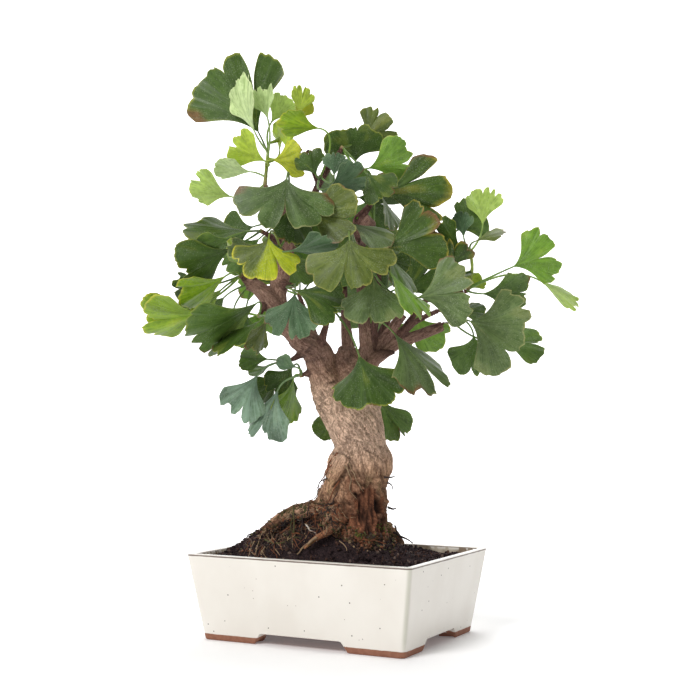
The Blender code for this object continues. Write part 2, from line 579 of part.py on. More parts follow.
def blade_surface(u, v, leaf):
    """Places on the middle of the blade: a fan, cupped across and drooped along."""
    length, spread, droop, cup = leaf["length"], leaf["spread"], leaf["droop"], leaf["cup"]
    flare = FLARE_AT_BASE + (1 - FLARE_AT_BASE) * v * v * (3 - 2 * v)
    reach = length * margin(u, leaf["notches"]) * v
    angle = math.radians(spread) * u * flare
    across, along = reach * np.sin(angle), reach * np.cos(angle)
    bend = math.radians(cup) / length
    sag = math.radians(droop) / length
    x = np.sin(bend * across) / bend
    fold = -(1 - np.cos(bend * across)) / bend
    y = np.sin(sag * along) / sag + fold * np.sin(sag * along)
    z = -(1 - np.cos(sag * along)) / sag + fold * np.cos(sag * along)
    return x, y, z


def leaf_shape(leaf, half=BLADE / 2, stalk=PETIOLE):
    """Blade and petiole as one closed body, and the blade's own points first."""
    side, middle, normal = blade_frame(leaf["aim"], leaf["pitch"], leaf["roll"])
    base = place(*leaf["base"])
    scale = 1.0 + leaf["base"][2] / -EYE[1]
    columns = leaf_columns(leaf["notches"])
    count = len(columns)
    u, v = np.meshgrid(columns, (0.5, 1.0))
    step = 0.02

    def point(u, v):
        x, y, z = blade_surface(u, v, leaf)
        return base + scale * (x[..., None] * side + y[..., None] * middle
                               + z[..., None] * normal)

    middle_points = point(u, v)
    lean = np.cross(point(u + step, v) - point(u - step, v),
                    point(u, v) - point(u, v - step))
    lean /= np.linalg.norm(lean, axis=-1)[..., None]
    root = [base - side * stalk, base + side * stalk]
    top = [*(p + normal * half for p in root), *(middle_points + lean * half).reshape(-1, 3)]
    low = [*(p - normal * half for p in root), *(middle_points - lean * half).reshape(-1, 3)]
    verts = top + low
    shift = len(top)
    centre = count // 2
    faces = []
    for index in range(count - 1):
        corner = 0 if index < centre else 1
        faces.append((corner, 3 + index, 2 + index))
        a, b = 2 + index, 2 + count + index
        faces += [(a, a + 1, b + 1), (a, b + 1, b)]
    faces.append((0, 1, 2 + centre))
    faces += [tuple(reversed([i + shift for i in face])) for face in faces]
    first, last = 2, 1 + count
    rim = [0, first] + [first + count + k for k in range(count)] + [last, 1]
    for a, b in zip(rim[:-1], rim[1:]):
        faces += [(a, b, b + shift), (a, b + shift, a + shift)]
    add_petiole(verts, faces, (0, 1, 1 + shift, shift), leaf, base, middle, stalk)
    return [to_pot(p) for p in verts], faces


def add_petiole(verts, faces, ring, leaf, base, middle, stalk):
    """A four-sided stalk from the blade's base ring back to the spray's stem."""
    root = leaf["root"]
    reach = np.linalg.norm(base - root)
    control = base - middle * reach * PETIOLE_BEND
    for t in (0.5, 0.0):
        centre = (root * (1 - t) + control * t) * (1 - t) + (control * (1 - t) + base * t) * t
        along = unit((control - root) * (1 - t) + (base - control) * t)
        across = verts[ring[1]] - verts[ring[0]]
        across = unit(across - along * np.dot(across, along))
        other = np.cross(across, along)
        start = len(verts)
        for sx, sy in ((-1, 1), (1, 1), (1, -1), (-1, -1)):
            verts.append(centre + stalk * PETIOLE_SLIMMER * (across * sx + other * sy))
        new = (start, start + 1, start + 2, start + 3)
        for k in range(4):
            n = (k + 1) % 4
            faces += [(ring[k], ring[n], new[n]), (ring[k], new[n], new[k])]
        ring = new
    faces += [(ring[0], ring[1], ring[2]), (ring[0], ring[2], ring[3])]


def spray_stem(name):
    """The points of a spray's own stem, starting where its twig's end is."""
    twig, more = TWIGS[name]
    start, before = place(*twig[-1][:3]), place(*twig[-2][:3])
    ahead = start + unit(start - before) * STUB
    return [start, ahead] + [place(*point) for point in more]


def on_stem(stem, share):
    """A place on a stem, from 0 at its first free place to 1 just short of its end."""
    lengths = [np.linalg.norm(b - a) for a, b in zip(stem[:-1], stem[1:])]
    reach = STEM_FREE + share * (sum(lengths) - STEM_SPARE)
    for (a, b), length in zip(zip(stem[:-1], stem[1:]), lengths):
        if reach <= length:
            return a + (b - a) * reach / length
        reach -= length
    return stem[-1]


def leaf_rows():
    """Every leaf as a dictionary: those drawn by hand, then those placed by rule."""
    keys = ("aim", "pitch", "roll", "length", "spread", "droop", "cup", "notches")
    for row in LEAVES:
        yield dict(zip(keys, row[5:]), spray=row[0], share=row[1], base=row[2:5])
    draw = random.Random(SEED)
    for name, first, last, count in BACK_SPRAYS:
        hub = TWIGS[name][0][-1]
        for index in range(count):
            aim = first + (last - first) * (index + draw.uniform(0.3, 0.7)) / count
            reach = draw.uniform(*BACK_PETIOLE)
            across = hub[0] + reach * math.cos(math.radians(aim))
            up = hub[1] + reach * math.sin(math.radians(aim)) * BACK_FLATTER
            yield dict(spray=name, share=draw.uniform(0.3, 0.9),
                       base=(across, up, hub[2] + draw.uniform(*BACK_DEPTH)),
                       aim=aim + draw.uniform(-BACK_TURN, BACK_TURN),
                       pitch=draw.uniform(*BACK_PITCH),
                       roll=draw.uniform(-BACK_ROLL, BACK_ROLL),
                       length=draw.uniform(*BACK_LENGTH), spread=draw.uniform(*BACK_SPREAD),
                       droop=BACK_DROOP, cup=BACK_CUP,
                       notches=(tuple(draw.uniform(*limits) for limits in BACK_NOTCH),))


def choices(leaf):
    """The leaf as drawn, then moved in depth and tilted a little more each time."""
    tries = [(abs(shift) + abs(a) + abs(b), shift, a, b) for shift in SHIFTS for a, b in TILTS]
    for _, shift, pitch, roll in sorted(tries):
        across, up, depth = leaf["base"]
        yield dict(leaf, base=(across, up, depth + shift), pitch=leaf["pitch"] + pitch,
                   roll=leaf["roll"] + roll)


def tree_of(shapes):
    """One search tree of several shapes."""
    verts, faces = [], []
    for more, polygons in shapes:
        start = len(verts)
        verts += [tuple(v) for v in more]
        faces += [tuple(i + start for i in face) for face in polygons]
    return BVHTree.FromPolygons(verts, faces)


def blade_only(shape):
    """The blade without its petiole, whose faces come last."""
    verts, faces = shape
    return verts, faces[:-PETIOLE_FACES]


def settle_leaves(solids):
    """Bend each leaf clear of the wood, the soil, the pot and the leaves before it."""
    settled = {name: [] for name in TWIGS}
    unclear = []
    for number, leaf in enumerate(leaf_rows()):
        name = leaf["spray"]
        leaf["root"] = on_stem(spray_stem(name), leaf["share"])
        others = tree_of([shape for key in settled if key != name for shape in settled[key]]
                         + solids)
        own = [blade_only(shape) for shape in settled[name]]
        own = tree_of(own) if own else None
        for trial in choices(leaf):
            thick = leaf_shape(trial, BLADE / 2 + CLEARANCE, PETIOLE + CLEARANCE)
            if tree_of([thick]).overlap(others):
                continue
            if own and tree_of([blade_only(thick)]).overlap(own):
                continue
            settled[name].append(leaf_shape(trial))
            break
        else:
            unclear.append((number, name))
    if unclear:
        print("left out, no clear place:", unclear)
    return settled


def make_sprays(solids):
    """Each leafy spray: its stem and its leaves, fused to one body."""
    green = material("leaf", (0.10, 0.22, 0.06), 0.5)
    made = []
    for name, leaves in settle_leaves(solids).items():
        stem = spray_stem(name)
        radius = TWIGS[name][0][-1][3]
        tip = STEM_TIP if len(stem) > 2 else radius * STEM_TAPER
        radii = np.linspace(radius, tip, len(stem))
        stem_shape = tube([to_pot(point) for point in stem], radii, STEM_SIDES)
        made.append(union("spray_" + name, [stem_shape] + leaves, green))
    return made


def shape_of(thing):
    """An object's points in millimetres and its faces."""
    verts = [vertex.co / MM for vertex in thing.data.vertices]
    return verts, [tuple(polygon.vertices) for polygon in thing.data.polygons]


def stand(things):
    """Centre the whole plant's bounding box on the origin, feet on the ground."""
    points = np.array([thing.matrix_world @ vertex.co for thing in things
                       for vertex in thing.data.vertices])
    low, high = points.min(axis=0), points.max(axis=0)
    shift = Vector((-(low[0] + high[0]) / 2, -(low[1] + high[1]) / 2, -low[2]))
    for thing in things:
        thing.data.transform(Matrix.Translation(shift))


def main():
    clear_scene()
    bark = material("bark", (0.36, 0.25, 0.18), 0.8)
    pot = make_pot()
    soil = make_soil()
    wood = union("wood", wood_shapes(), bark)
    things = [pot, soil, wood] + make_sprays([shape_of(t) for t in (pot, soil, wood)])
    stand(things)


main()
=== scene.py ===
"""Ginkgo bonsai: glazed pot, crumbly soil, bark and fan-shaped leaves as finished surfaces.

The tree's places are written in a drawing made from the front right: across, up and
depth in millimetres, as in the part's source. Every surface is worked out with numpy.
"""
import math
import random

import bmesh
import bpy
import numpy as np
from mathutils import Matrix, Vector
from mathutils.bvhtree import BVHTree
from mathutils.kdtree import KDTree


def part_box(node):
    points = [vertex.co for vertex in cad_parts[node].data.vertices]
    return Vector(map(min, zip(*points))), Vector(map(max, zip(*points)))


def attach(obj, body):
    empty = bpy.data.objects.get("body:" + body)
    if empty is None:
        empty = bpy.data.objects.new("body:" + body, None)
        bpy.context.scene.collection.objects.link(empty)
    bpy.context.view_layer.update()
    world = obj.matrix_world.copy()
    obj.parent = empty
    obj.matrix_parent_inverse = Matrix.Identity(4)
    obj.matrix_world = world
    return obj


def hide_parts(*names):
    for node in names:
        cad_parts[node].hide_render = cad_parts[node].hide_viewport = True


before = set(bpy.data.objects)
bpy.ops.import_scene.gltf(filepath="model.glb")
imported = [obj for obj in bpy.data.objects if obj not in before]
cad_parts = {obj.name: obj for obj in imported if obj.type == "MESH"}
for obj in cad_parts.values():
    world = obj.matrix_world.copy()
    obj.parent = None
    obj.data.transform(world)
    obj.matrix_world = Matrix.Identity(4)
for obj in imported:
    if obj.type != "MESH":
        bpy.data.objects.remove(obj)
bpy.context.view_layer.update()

bl_info = {
    "name": "Ginkgo bonsai",
    "version": (1, 0, 0),
    "blender": (4, 5, 0),
    "location": "3D View > Sidebar > Bonsai",
    "description": "Builds a ginkgo bonsai in a glazed pot round its packed solids",
    "category": "Add Mesh",
}

MM = 0.001
POT_LOW, POT_HIGH = (np.array(corner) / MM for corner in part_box("pot"))
POT_CENTRE = np.array(((POT_LOW[0] + POT_HIGH[0]) / 2, (POT_LOW[1] + POT_HIGH[1]) / 2, 0.0))

# The drawing: where the viewer's eye is, and how far the pot is turned from it
EYE = np.array((8.4, -1073.0, 192.0))
VIEW_TURN = math.radians(27.44)
VIEW_TILT = math.radians(2.389)
LENS_MM = 65.93

# The pot: how much larger its drawn rectangle is than its box, and its sizes in mm
RIM_EXTRA = 0.3
POT_LENGTH, POT_WIDTH, POT_HEIGHT = POT_HIGH - POT_LOW + np.array((RIM_EXTRA, RIM_EXTRA, 0.0))
POT_TAPER = 11.0
POT_WALL = 6.5
POT_FLOOR = 9.0
FOOT_HEIGHT = 8.5
FOOT_SLANT = 6.0
FOOT_DEPTH = 15.0
FOOT_SHARE = 0.30
DRAIN_RADIUS = 7.0
DRAIN_OFFSET = 48.0

# The pot's rings: over the rim, with those that are brown lines, and up each wall
RIM_ROUND = 1.2
RIM_STEPS = 13
RIM_LINES = (1, 2, 11, 12)
INNER_STEPS = 14
OUTER_STEPS = 26
CORNER_SHRINK = 0.4
SHARPEST_CORNER = 1.2
EDGE_TOP = 14.0
EDGE_HEIGHTS = (10.5, 7.0, 4.0, 2.0, 0.8)

# The pot's finish: where its clay is bare, and how wide the duller stripe down its front
# corner is
BARE_CLAY = 5.0
BARE_BLUR = 4.0
BARE_IN_GAP = 0.25
STRIPE_WIDTH = 3.4
STAINED = -1.0

# The soil: its level at the wall, its mound, and the points of its rings
SOIL_EDGE = 62.5
TOP_UP = 2.5
MOUND_HEIGHT = 40.0
MOUND_SPREAD = 60.0
MOUND_CENTRE = (-20.0, 6.0)
SOIL_GAP = 0.3
SOIL_CORNER = 2.0
SOIL_STEPS = 320
SOIL_RINGS = 90

# Blades: SHOULDER, FLARE and BLADE are the part's own, and the FULL ones are what is seen
SHOULDER = 0.62
FULL_SHOULDER = 0.76
FULL_SIZE = 1.06
BACK_FULL_SIZE = 1.0
FLARE = 0.35
FULL_FLARE = 0.58
NOTCH_WIDTH = 0.14
NOTCH_STEPS = np.array((0, 0.02, 0.045, 0.075, 0.11, NOTCH_WIDTH))
BLADE = 0.75
ON_BLADE = 0.62 * BLADE
RAGGED = 0.16
RAGGED_WHERE_SCORCHED = 0.03

# Stems: the stub that carries on its twig, and where petioles may leave it
STUB = 3.0
STEM_START = 1.5
STEM_SPARE = 2.3

# Points of the wood that are matched with its limbs at one time
BATCH = 4000

# Trunk, limbs and roots: (across, up, depth, radius)
LIMBS = {
    "trunk": ((8, 50, 0, 27), (6, 70, 0, 36), (7, 90, 1, 35), (9, 106, 1, 31), (12, 124, 0, 26.5),
              (16, 142, 0, 25.5), (17, 158, 0, 21.5), (13, 174, 0, 23.5), (9, 188, 0, 24)),
    "stump": ((9, 178, 2, 17), (18, 198, 3, 19), (15, 214, 3, 17), (8, 229, 2, 13),
              (8, 239, 1, 8)),
    "left_limb": ((4, 182, 0, 20), (-8, 197, -1, 15), (-14, 214, -2, 13), (-19, 234, -3, 13),
                  (-33, 246, -4, 11), (-48, 262, -4, 9.2), (-60, 280, -4, 7.6),
                  (-70, 290, -3, 6.2), (-78, 292, -3, 5)),
    "leader": ((-44, 258, -3, 7), (-53, 276, -1, 8), (-51, 292, 2, 8), (-46, 314, 5, 7),
               (-48, 331, 6, 5.6), (-53, 347, 6, 4), (-60, 366, 5, 2.8)),
    "inner_limb": ((-45, 316, 5, 5.5), (-30, 350, 0, 3.6), (-18, 376, -5, 3), (-8, 393, -8, 2.6)),
    "right_stem": ((12, 218, 0, 11), (22, 232, -5, 7.5), (20, 262, -8, 5), (17, 300, -8, 4.2),
                   (14, 334, -9, 3.4), (24, 358, -10, 2.6)),
    "lower_right": ((14, 216, 4, 11), (30, 232, 0, 8), (48, 243, 0, 6), (60, 247, 0, 5.2),
                    (76, 253, 1, 4.8), (86, 257, 1, 4.4)),
    "scaly": ((24, 228, -6, 6), (36, 233, -9, 4), (46, 235, -11, 1.6)),
    "sawn": ((30, 236, -3, 5), (44, 255, -7, 4.6), (53, 267, -9, 4.2)),
    "sawn_high": ((14, 330, -9, 3), (21, 340, -12, 5), (27, 347, -15, 5.6)),
    "thin_high": ((15, 336, -9, 1.5), (12, 347, -12, 1.2), (26, 361, -14, 1.1)),
    "thin_low": ((62, 250, 0, 1.3), (85, 259, -3, 1), (94, 259, -4, 0.8)),
    "limb_spur": ((-70, 290, -4, 3.2), (-75, 304, -5, 1.9)),
    "bud_spur": ((-18, 376, -5, 2.4), (-28, 404, -3, 1.4), (-14, 398, -4, 0.9)),
    "knob": ((12, 152, -14, 5), (3, 144, -19, 6.6), (-4, 133, -18, 6.2), (-10, 118, -14, 6)),
    "burl": ((27, 154, 0, 11), (33, 144, 0, 12), (30, 128, 0, 10), (28, 112, 0, 12)),
    "root_pale": ((2, 108, -8, 10), (-16, 106, -14, 8), (-36, 102, -18, 6.5), (-50, 96, -20, 5),
                  (-64, 86, -21, 3.4)),
    "root_orange": ((6, 94, -26, 4), (-8, 86, -38, 3.2), (-21, 79, -45, 2.4),
                    (-30, 71, -51, 1.2)),
    "root_left": ((-8, 100, 2, 13), (-30, 96, 6, 9), (-52, 84, 10, 6), (-68, 72, 12, 3)),
    "root_right": ((20, 96, 6, 14), (38, 86, 8, 8), (52, 74, 10, 4)),
    "root_front": ((16, 92, -16, 13), (20, 80, -30, 8), (22, 70, -38, 4)),
    "root_back": ((4, 96, 14, 14), (-4, 82, 30, 8), (-8, 70, 42, 4)),
}

# Creases seen in the trunk: depth and width in mm, then places (across, up)
CREASES = (
    (2.4, 1.5, ((8, 140), (4, 134), (-2, 126), (-4, 118))),
    (1.2, 0.8, ((20, 155), (28, 151), (38, 144))),
    (1.8, 1.3, ((12, 128), (22, 124), (34, 118))),
    (1.4, 0.9, ((-6, 151), (2, 152), (10, 146), (16, 134))),
    (2.0, 1.2, ((-22, 112), (-12, 108), (-4, 112))),
    (1.8, 1.0, ((2, 112), (4, 104), (8, 98))),
    (1.6, 1.0, ((-2, 96), (6, 94), (12, 90))),
    (1.0, 0.8, ((34, 138), (36, 128), (35, 118))),
)
GRAIN_TWIST = 0.03

# Twigs that end under each spray: the places on the wood, then the spray's own stem
TWIGS = {
    "top_shoot": (((-56, 358, 6, 2.8), (-62, 374, 4, 1.9)), ((-62, 390, 4), (-60, 412, 3))),
    "middle_spur": (((-19, 374, -5, 2.6), (-17, 381, -10, 2)), ()),
    "upper_spur": (((-9, 390, -8, 2.6), (1, 406, -9, 2)), ()),
    "upper_right": (((23, 355, -10, 2.6), (31, 369, -14, 1.9)), ()),
    "right_stem": (((26, 230, -6, 3), (31, 268, -13, 2.4), (34, 317, -21, 1.9)), ()),
    "heart": (((15, 312, -9, 3.2), (13, 325, -22, 2)), ()),
    "left_crown": (((-50, 338, 5, 3), (-46, 352, -5, 2.4), (-43, 364, -14, 1.9)), ()),
    "centre": (((-47, 314, 2, 4), (-50, 322, -15, 2)), ()),
    "left_upper": (((-48, 324, 5, 4), (-58, 332, -4, 2.6), (-65, 336, -9, 1.9)), ()),
    "limb_end": (((-74, 290, -3, 4), (-82, 298, -4, 2.4)), ()),
    "limb_low": (((-60, 280, -4, 4), (-67, 267, -13, 2)), ()),
    "fork": (((-50, 292, 0, 5), (-40, 291, -15, 2)), ()),
    "neck_left": (((-25, 238, -4, 5), (-41, 228, -6, 2)), ()),
    "neck_low": (((-16, 220, -4, 6), (-31, 216, -8, 2)), ()),
    "front": (((-18, 236, -8, 5), (-12, 256, -17, 2.6), (-8, 270, -21, 1.9)), ()),
    "forward": (((29, 252, -10, 2.6), (29, 284, -22, 2.2), (28, 301, -30, 1.9)), ()),
    "right_low": (((48, 246, -2, 4), (60, 258, -8, 2.8), (70, 264, -12, 2.4), (83, 270, -14, 2)),
                  ()),
    "right_far": (((46, 244, 2, 4), (62, 266, 3, 2.6), (67, 276, 3, 2.2), (90, 282, 1, 2),
                   (104, 286, 0, 1.8)), ((109, 293, 0), (111, 307, 0), (109, 322, 1))),
    "trunk_back": (((16, 200, 12, 5), (24, 208, 30, 2)), ()),
    "back_left": (((-50, 328, 8, 4), (-52, 340, 30, 2.4), (-52, 344, 46, 1.9)), ()),
    "back_top": (((-31, 348, 2, 3.4), (-20, 362, 22, 2.4), (-8, 370, 40, 1.9)), ()),
    "back_right": (((15, 318, -6, 3.6), (22, 332, 24, 2.6), (28, 342, 52, 1.9)), ()),
    "back_far": (((24, 228, 8, 5), (40, 262, 30, 3), (54, 290, 50, 1.9)), ()),
    "back_limb": (((-50, 266, 0, 5), (-66, 280, 24, 2.8), (-73, 292, 44, 1.9)), ()),
    "back_low": (((14, 216, 12, 7), (26, 244, 38, 3), (32, 268, 60, 1.9)), ()),
    "back_neck": (((-20, 240, 6, 6), (-27, 262, 38, 3), (-34, 282, 62, 1.9)), ()),
    "back_heart": (((8, 228, 8, 7), (4, 270, 46, 3.4), (4, 316, 80, 1.9)), ()),
}

# Leaves: spray, place on its stem 0 to 1, leaf base across, up, depth, then the way the
# blade points, its pitch towards the viewer and its roll in degrees, its length, its
# half spread, droop and cup in degrees, its notches as (place -1 to 1, depth 0 to 1),
# its green, and for two of them the scorched places as (start, end, reach from the rim)
LEAVES = (
    ("top_shoot", .75, -69, 421, 8, 118, 0, 0, 67, 52, 6, 8, ((-.04, .16), (.42, .58)), "dark",
     ((-1.1, -.8, .22),)),
    ("top_shoot", .80, -72, 421, -8, 115, 8, 66, 46, 48, 10, 12, (), "mint"),
    ("top_shoot", .70, -61, 432, -14, 104, 6, 48, 28, 46, 8, -14, ((.1, .14),), "mint"),
    ("top_shoot", .90, -58, 429, -8, 56, 8, -40, 26, 46, 10, 12, (), "fresh"),
    ("top_shoot", 1.0, -35, 436, 4, 80, 0, -34, 24, 42, 6, -14, ((.0, .34),), "lime"),
    ("top_shoot", 1.0, -39, 428, 12, 92, 52, 0, 24, 62, 8, 10, ((.05, .3),), "yellow"),
    ("top_shoot", .55, -51, 404, 12, 88, 0, 68, 30, 44, 6, -10, (), "lime"),
    ("top_shoot", .65, -44, 404, 3, 94, 6, 56, 23, 44, 6, 12, (), "lime"),
    ("top_shoot", .45, -63, 396, -10, 155, 10, 50, 33, 46, 16, 14, ((-.1, .34),), "lime"),
    ("top_shoot", .40, -57, 397, -12, -3, 14, -38, 28, 48, 14, 12, ((.3, .2),), "yellow"),
    ("top_shoot", .20, -75, 387, 0, 176, 8, 70, 29, 46, 6, 12, (), "mint"),
    ("top_shoot", .05, -92, 366, 2, 163, 0, 54, 35, 46, 8, 10, ((.2, .2),), "fresh"),
    ("middle_spur", .7, -18, 424, -4, 175, 0, 62, 33, 46, 8, 16, (), "spring"),
    ("middle_spur", .6, -20, 384, 6, 115, 10, 0, 22, 50, 6, 10, ((.1, .2),), "dark"),
    ("middle_spur", .9, -5, 384, -36, 86, 6, 0, 19, 48, 6, 36, ((.0, .2),), "blue"),
    ("middle_spur", .8, -10, 373, -38, 20, 10, -48, 33, 46, 10, 18, ((.1, .26),), "blue"),
    ("upper_spur", .8, 19, 416, 5, 38, 0, 0, 28, 58, 6, 10, ((-.3, .3), (.35, .3)), "olive"),
    ("upper_spur", .7, 13, 396, 10, 95, 40, 0, 32, 70, 8, 10, ((.1, .2),), "dark"),
    ("upper_spur", .9, 24, 390, -15, 15, 8, -30, 37, 46, 10, 16, ((.2, .22),), "bright"),
    ("upper_spur", .6, 22, 386, -27, -50, 12, 0, 27, 50, 10, 12, ((.1, .2),), "dark"),
    ("upper_right", .8, 36, 369, -12, 3, 4, 0, 54, 48, 8, 8, ((-.42, .62), (.4, .16)), "rusty"),
    ("upper_right", .5, 35, 366, -4, -62, 6, 66, 32, 44, 8, 12, (), "grey"),
    ("right_stem", .8, 38, 322, -30, 20, 8, 0, 51, 46, 10, 10, ((.05, .22), (-.5, .14)), "rusty"),
    ("right_stem", .5, 36, 314, -12, -20, 0, 30, 24, 44, 10, 12, (), "dark"),
    ("right_stem", .6, 39, 318, -28, -57, 8, 68, 43, 46, 8, 12, (), "mid"),
    ("heart", .6, 10, 343, -40, -25, 12, 54, 36, 46, 10, 16, (), "grey"),
    ("heart", .9, 8, 330, -70, -85, 22, 0, 45, 74, 14, 10, ((.18, .5), (-.38, .22)), "olive"),
    ("left_crown", .9, -45, 381, -58, -95, 28, 0, 50, 76, 14, 8,
     ((-.04, .6), (.4, .26), (-.6, .2)), "dusty", ((.86, 1.1, .2), (-1.1, -.82, .24))),
    ("left_crown", .5, -42, 360, -44, -80, 14, 40, 35, 46, 10, 12, (), "dark"),
    ("left_crown", .8, -31, 352, -52, -5, 14, 0, 45, 46, 12, 12, ((.1, .3),), "olive"),
    ("centre", .6, -28, 346, -30, -92, 4, 34, 24, 46, 8, 12, (), "dark"),
    ("centre", .8, -42, 320, -56, 5, 10, -66, 39, 46, 10, 14, (), "blue"),
    ("centre", .9, -60, 331, -52, -98, 16, 0, 36, 68, 12, 12, ((-.42, .6), (.5, .2)), "golden"),
    ("centre", .4, -72, 325, -36, 194, 6, 60, 22, 46, 8, 14, (), "grey"),
    ("left_upper", .8, -79, 337, -12, 180, 4, -56, 50, 48, 8, 12, ((.1, .2),), "dark"),
    ("left_upper", .6, -95, 331, -30, 203, 6, 50, 25, 46, 8, 12, (), "mid"),
    ("left_upper", .9, -92, 322, -22, 207, 6, 50, 46, 46, 10, 12, ((-.2, .2),), "dark"),
    ("limb_end", .9, -79, 306, 5, 128, 0, 55, 26, 44, 6, 12, (), "spring"),
    ("limb_end", .7, -96, 299, -25, 215, 6, 64, 43, 46, 8, 12, (), "spring"),
    ("limb_end", .5, -110, 291, 6, 190, 0, 48, 30, 46, 8, 12, ((.1, .2),), "dark"),
    ("limb_end", .4, -99, 288, 0, 222, 4, 66, 31, 46, 8, 12, (), "spring"),
    ("limb_end", .8, -130, 271, -10, 190, 6, 48, 34, 46, 10, 12, ((.0, .2),), "spring"),
    ("limb_low", .8, -116, 268, -20, 192, 6, 55, 49, 50, 8, 12, ((-.1, .34),), "spring"),
    ("limb_low", .6, -70, 276, -27, 217, 4, 62, 62, 48, 8, 10, ((.1, .2),), "mid"),
    ("limb_low", .5, -66, 262, -34, 214, 8, -68, 46, 48, 8, 10, (), "dark"),
    ("limb_low", .9, -62, 262, -6, 250, 6, 60, 29, 46, 8, 12, ((.1, .24),), "olive"),
    ("fork", .8, -38, 287, -46, -15, 10, 44, 43, 48, 10, 12, ((.1, .2),), "dark"),
    ("fork", .6, -38, 284, -39, -95, 12, 0, 36, 54, 10, 14, ((.14, .46),), "blue"),
    ("neck_left", .8, -60, 229, 8, 175, 0, -34, 23, 46, 8, 12, (), "mid"),
    ("neck_left", .5, -58, 224, 20, 205, 0, 72, 19, 46, 6, 8, (), "mid"),
    ("neck_left", .9, -69, 216, -6, 240, 8, -22, 38, 44, 10, 12, ((-.1, .26),), "pale_blue"),
    ("neck_left", .6, -50, 214, 24, 218, 4, 48, 26, 46, 8, 12, (), "dark"),
    ("neck_low", .8, -52, 203, -14, 250, 8, -40, 43, 46, 10, 12, ((.1, .3),), "pale_blue"),
    ("neck_low", .5, -40, 222, 22, 236, 6, 0, 27, 50, 8, 10, ((.1, .2),), "dark"),
    ("neck_low", .6, -36, 222, -20, 160, 6, 50, 17, 46, 6, 12, (), "blue"),
    ("neck_low", .9, -39, 212, 8, 262, 6, 62, 38, 46, 8, 10, ((-.1, .2),), "bright"),
    ("front", .9, 16, 232, -46, -74, 8, 0, 46, 56, 8, 10, ((.02, .07), (-.5, .12)), "dark"),
    ("front", .7, 46, 250, -40, -52, 10, 54, 60, 48, 8, 12, ((-.1, .44),), "grey"),
    ("forward", .9, 28, 298, -58, -90, 14, 0, 39, 54, 12, 10, ((.1, .24),), "grey"),
    ("forward", .6, 41, 303, -60, -50, 14, 70, 49, 46, 8, 12, (), "bright"),
    ("forward", .8, 66, 281, -46, 10, 12, 0, 46, 52, 12, 12, ((.06, .4),), "grey"),
    ("trunk_back", .8, 33, 196, 38, -60, 0, 40, 38, 46, 8, 12, ((.0, .3),), "mid"),
    ("trunk_back", .5, -1, 179, 38, 212, 0, 30, 22, 46, 8, 12, (), "mid"),
    ("right_low", .9, 112, 248, -14, -88, 8, 0, 31, 68, 10, 12, ((.1, .26),), "mid"),
    ("right_low", .6, 109, 261, -28, -20, 10, 0, 48, 66, 12, 12, ((.3, .24),), "grey"),
    ("right_low", .8, 135, 243, 12, 0, 0, 34, 35, 46, 8, 12, ((.0, .34),), "mid"),
    ("right_low", .5, 98, 268, 0, 5, 0, 50, 24, 44, 6, 12, (), "dark"),
    ("right_far", .02, 120, 284, -12, -2, 6, -44, 39, 46, 10, 12, ((.0, .26),), "mid"),
    ("right_far", .10, 146, 307, -5, 23, 6, 0, 37, 54, 8, 10, ((.1, .46), (-.5, .14)), "bright"),
    ("right_far", .06, 168, 295, 2, -30, 0, 62, 37, 44, 8, 10, ((.2, .2),), "fresh"),
    ("right_far", .15, 109, 288, 12, 60, 30, 0, 15, 60, 6, 10, (), "lime"),
    ("right_far", .30, 92, 304, 8, 110, 10, 40, 22, 46, 6, 12, ((.1, .3),), "olive"),
    ("right_far", .95, 120, 342, 0, 88, 4, 38, 31, 46, 8, 12, ((-.1, .2),), "fresh"),
    ("right_far", .90, 98, 337, 8, 40, 4, 0, 28, 56, 8, 12, (), "mid"),
    ("right_far", .98, 104, 332, 14, 96, 4, 42, 20, 46, 6, 12, (), "blue"),
    ("right_far", .97, 113, 328, -8, 22, 4, 68, 28, 46, 6, 12, (), "olive"),
    ("right_far", .80, 103, 320, -9, 150, 6, 28, 33, 46, 8, 12, ((.1, .2),), "dark"),
    ("right_far", .50, 95, 306, -14, 96, 36, 0, 24, 72, 8, 12, ((.1, .5),), "rusty"),
    ("right_far", .12, 97, 298, -6, 15, 4, 68, 15, 44, 4, 8, (), "dark"),
)

# Sprays at the back, drawn by rule: spray, first and last way that a leaf points, leaves
BACK_SPRAYS = (
    ("back_left", 175, 330, 4), ("back_top", 195, 370, 5), ("back_right", 70, 300, 5),
    ("back_far", 140, 300, 4), ("back_limb", 195, 300, 4), ("back_low", 30, 170, 4),
    ("back_neck", 40, 170, 4), ("back_heart", 0, 360, 6),
)
BACK_LENGTH = (34.0, 46.0)
BACK_PETIOLE = (20.0, 30.0)
BACK_GREENS = ("dark", "mid", "mid", "bright", "dark", "olive")
SEED = 7

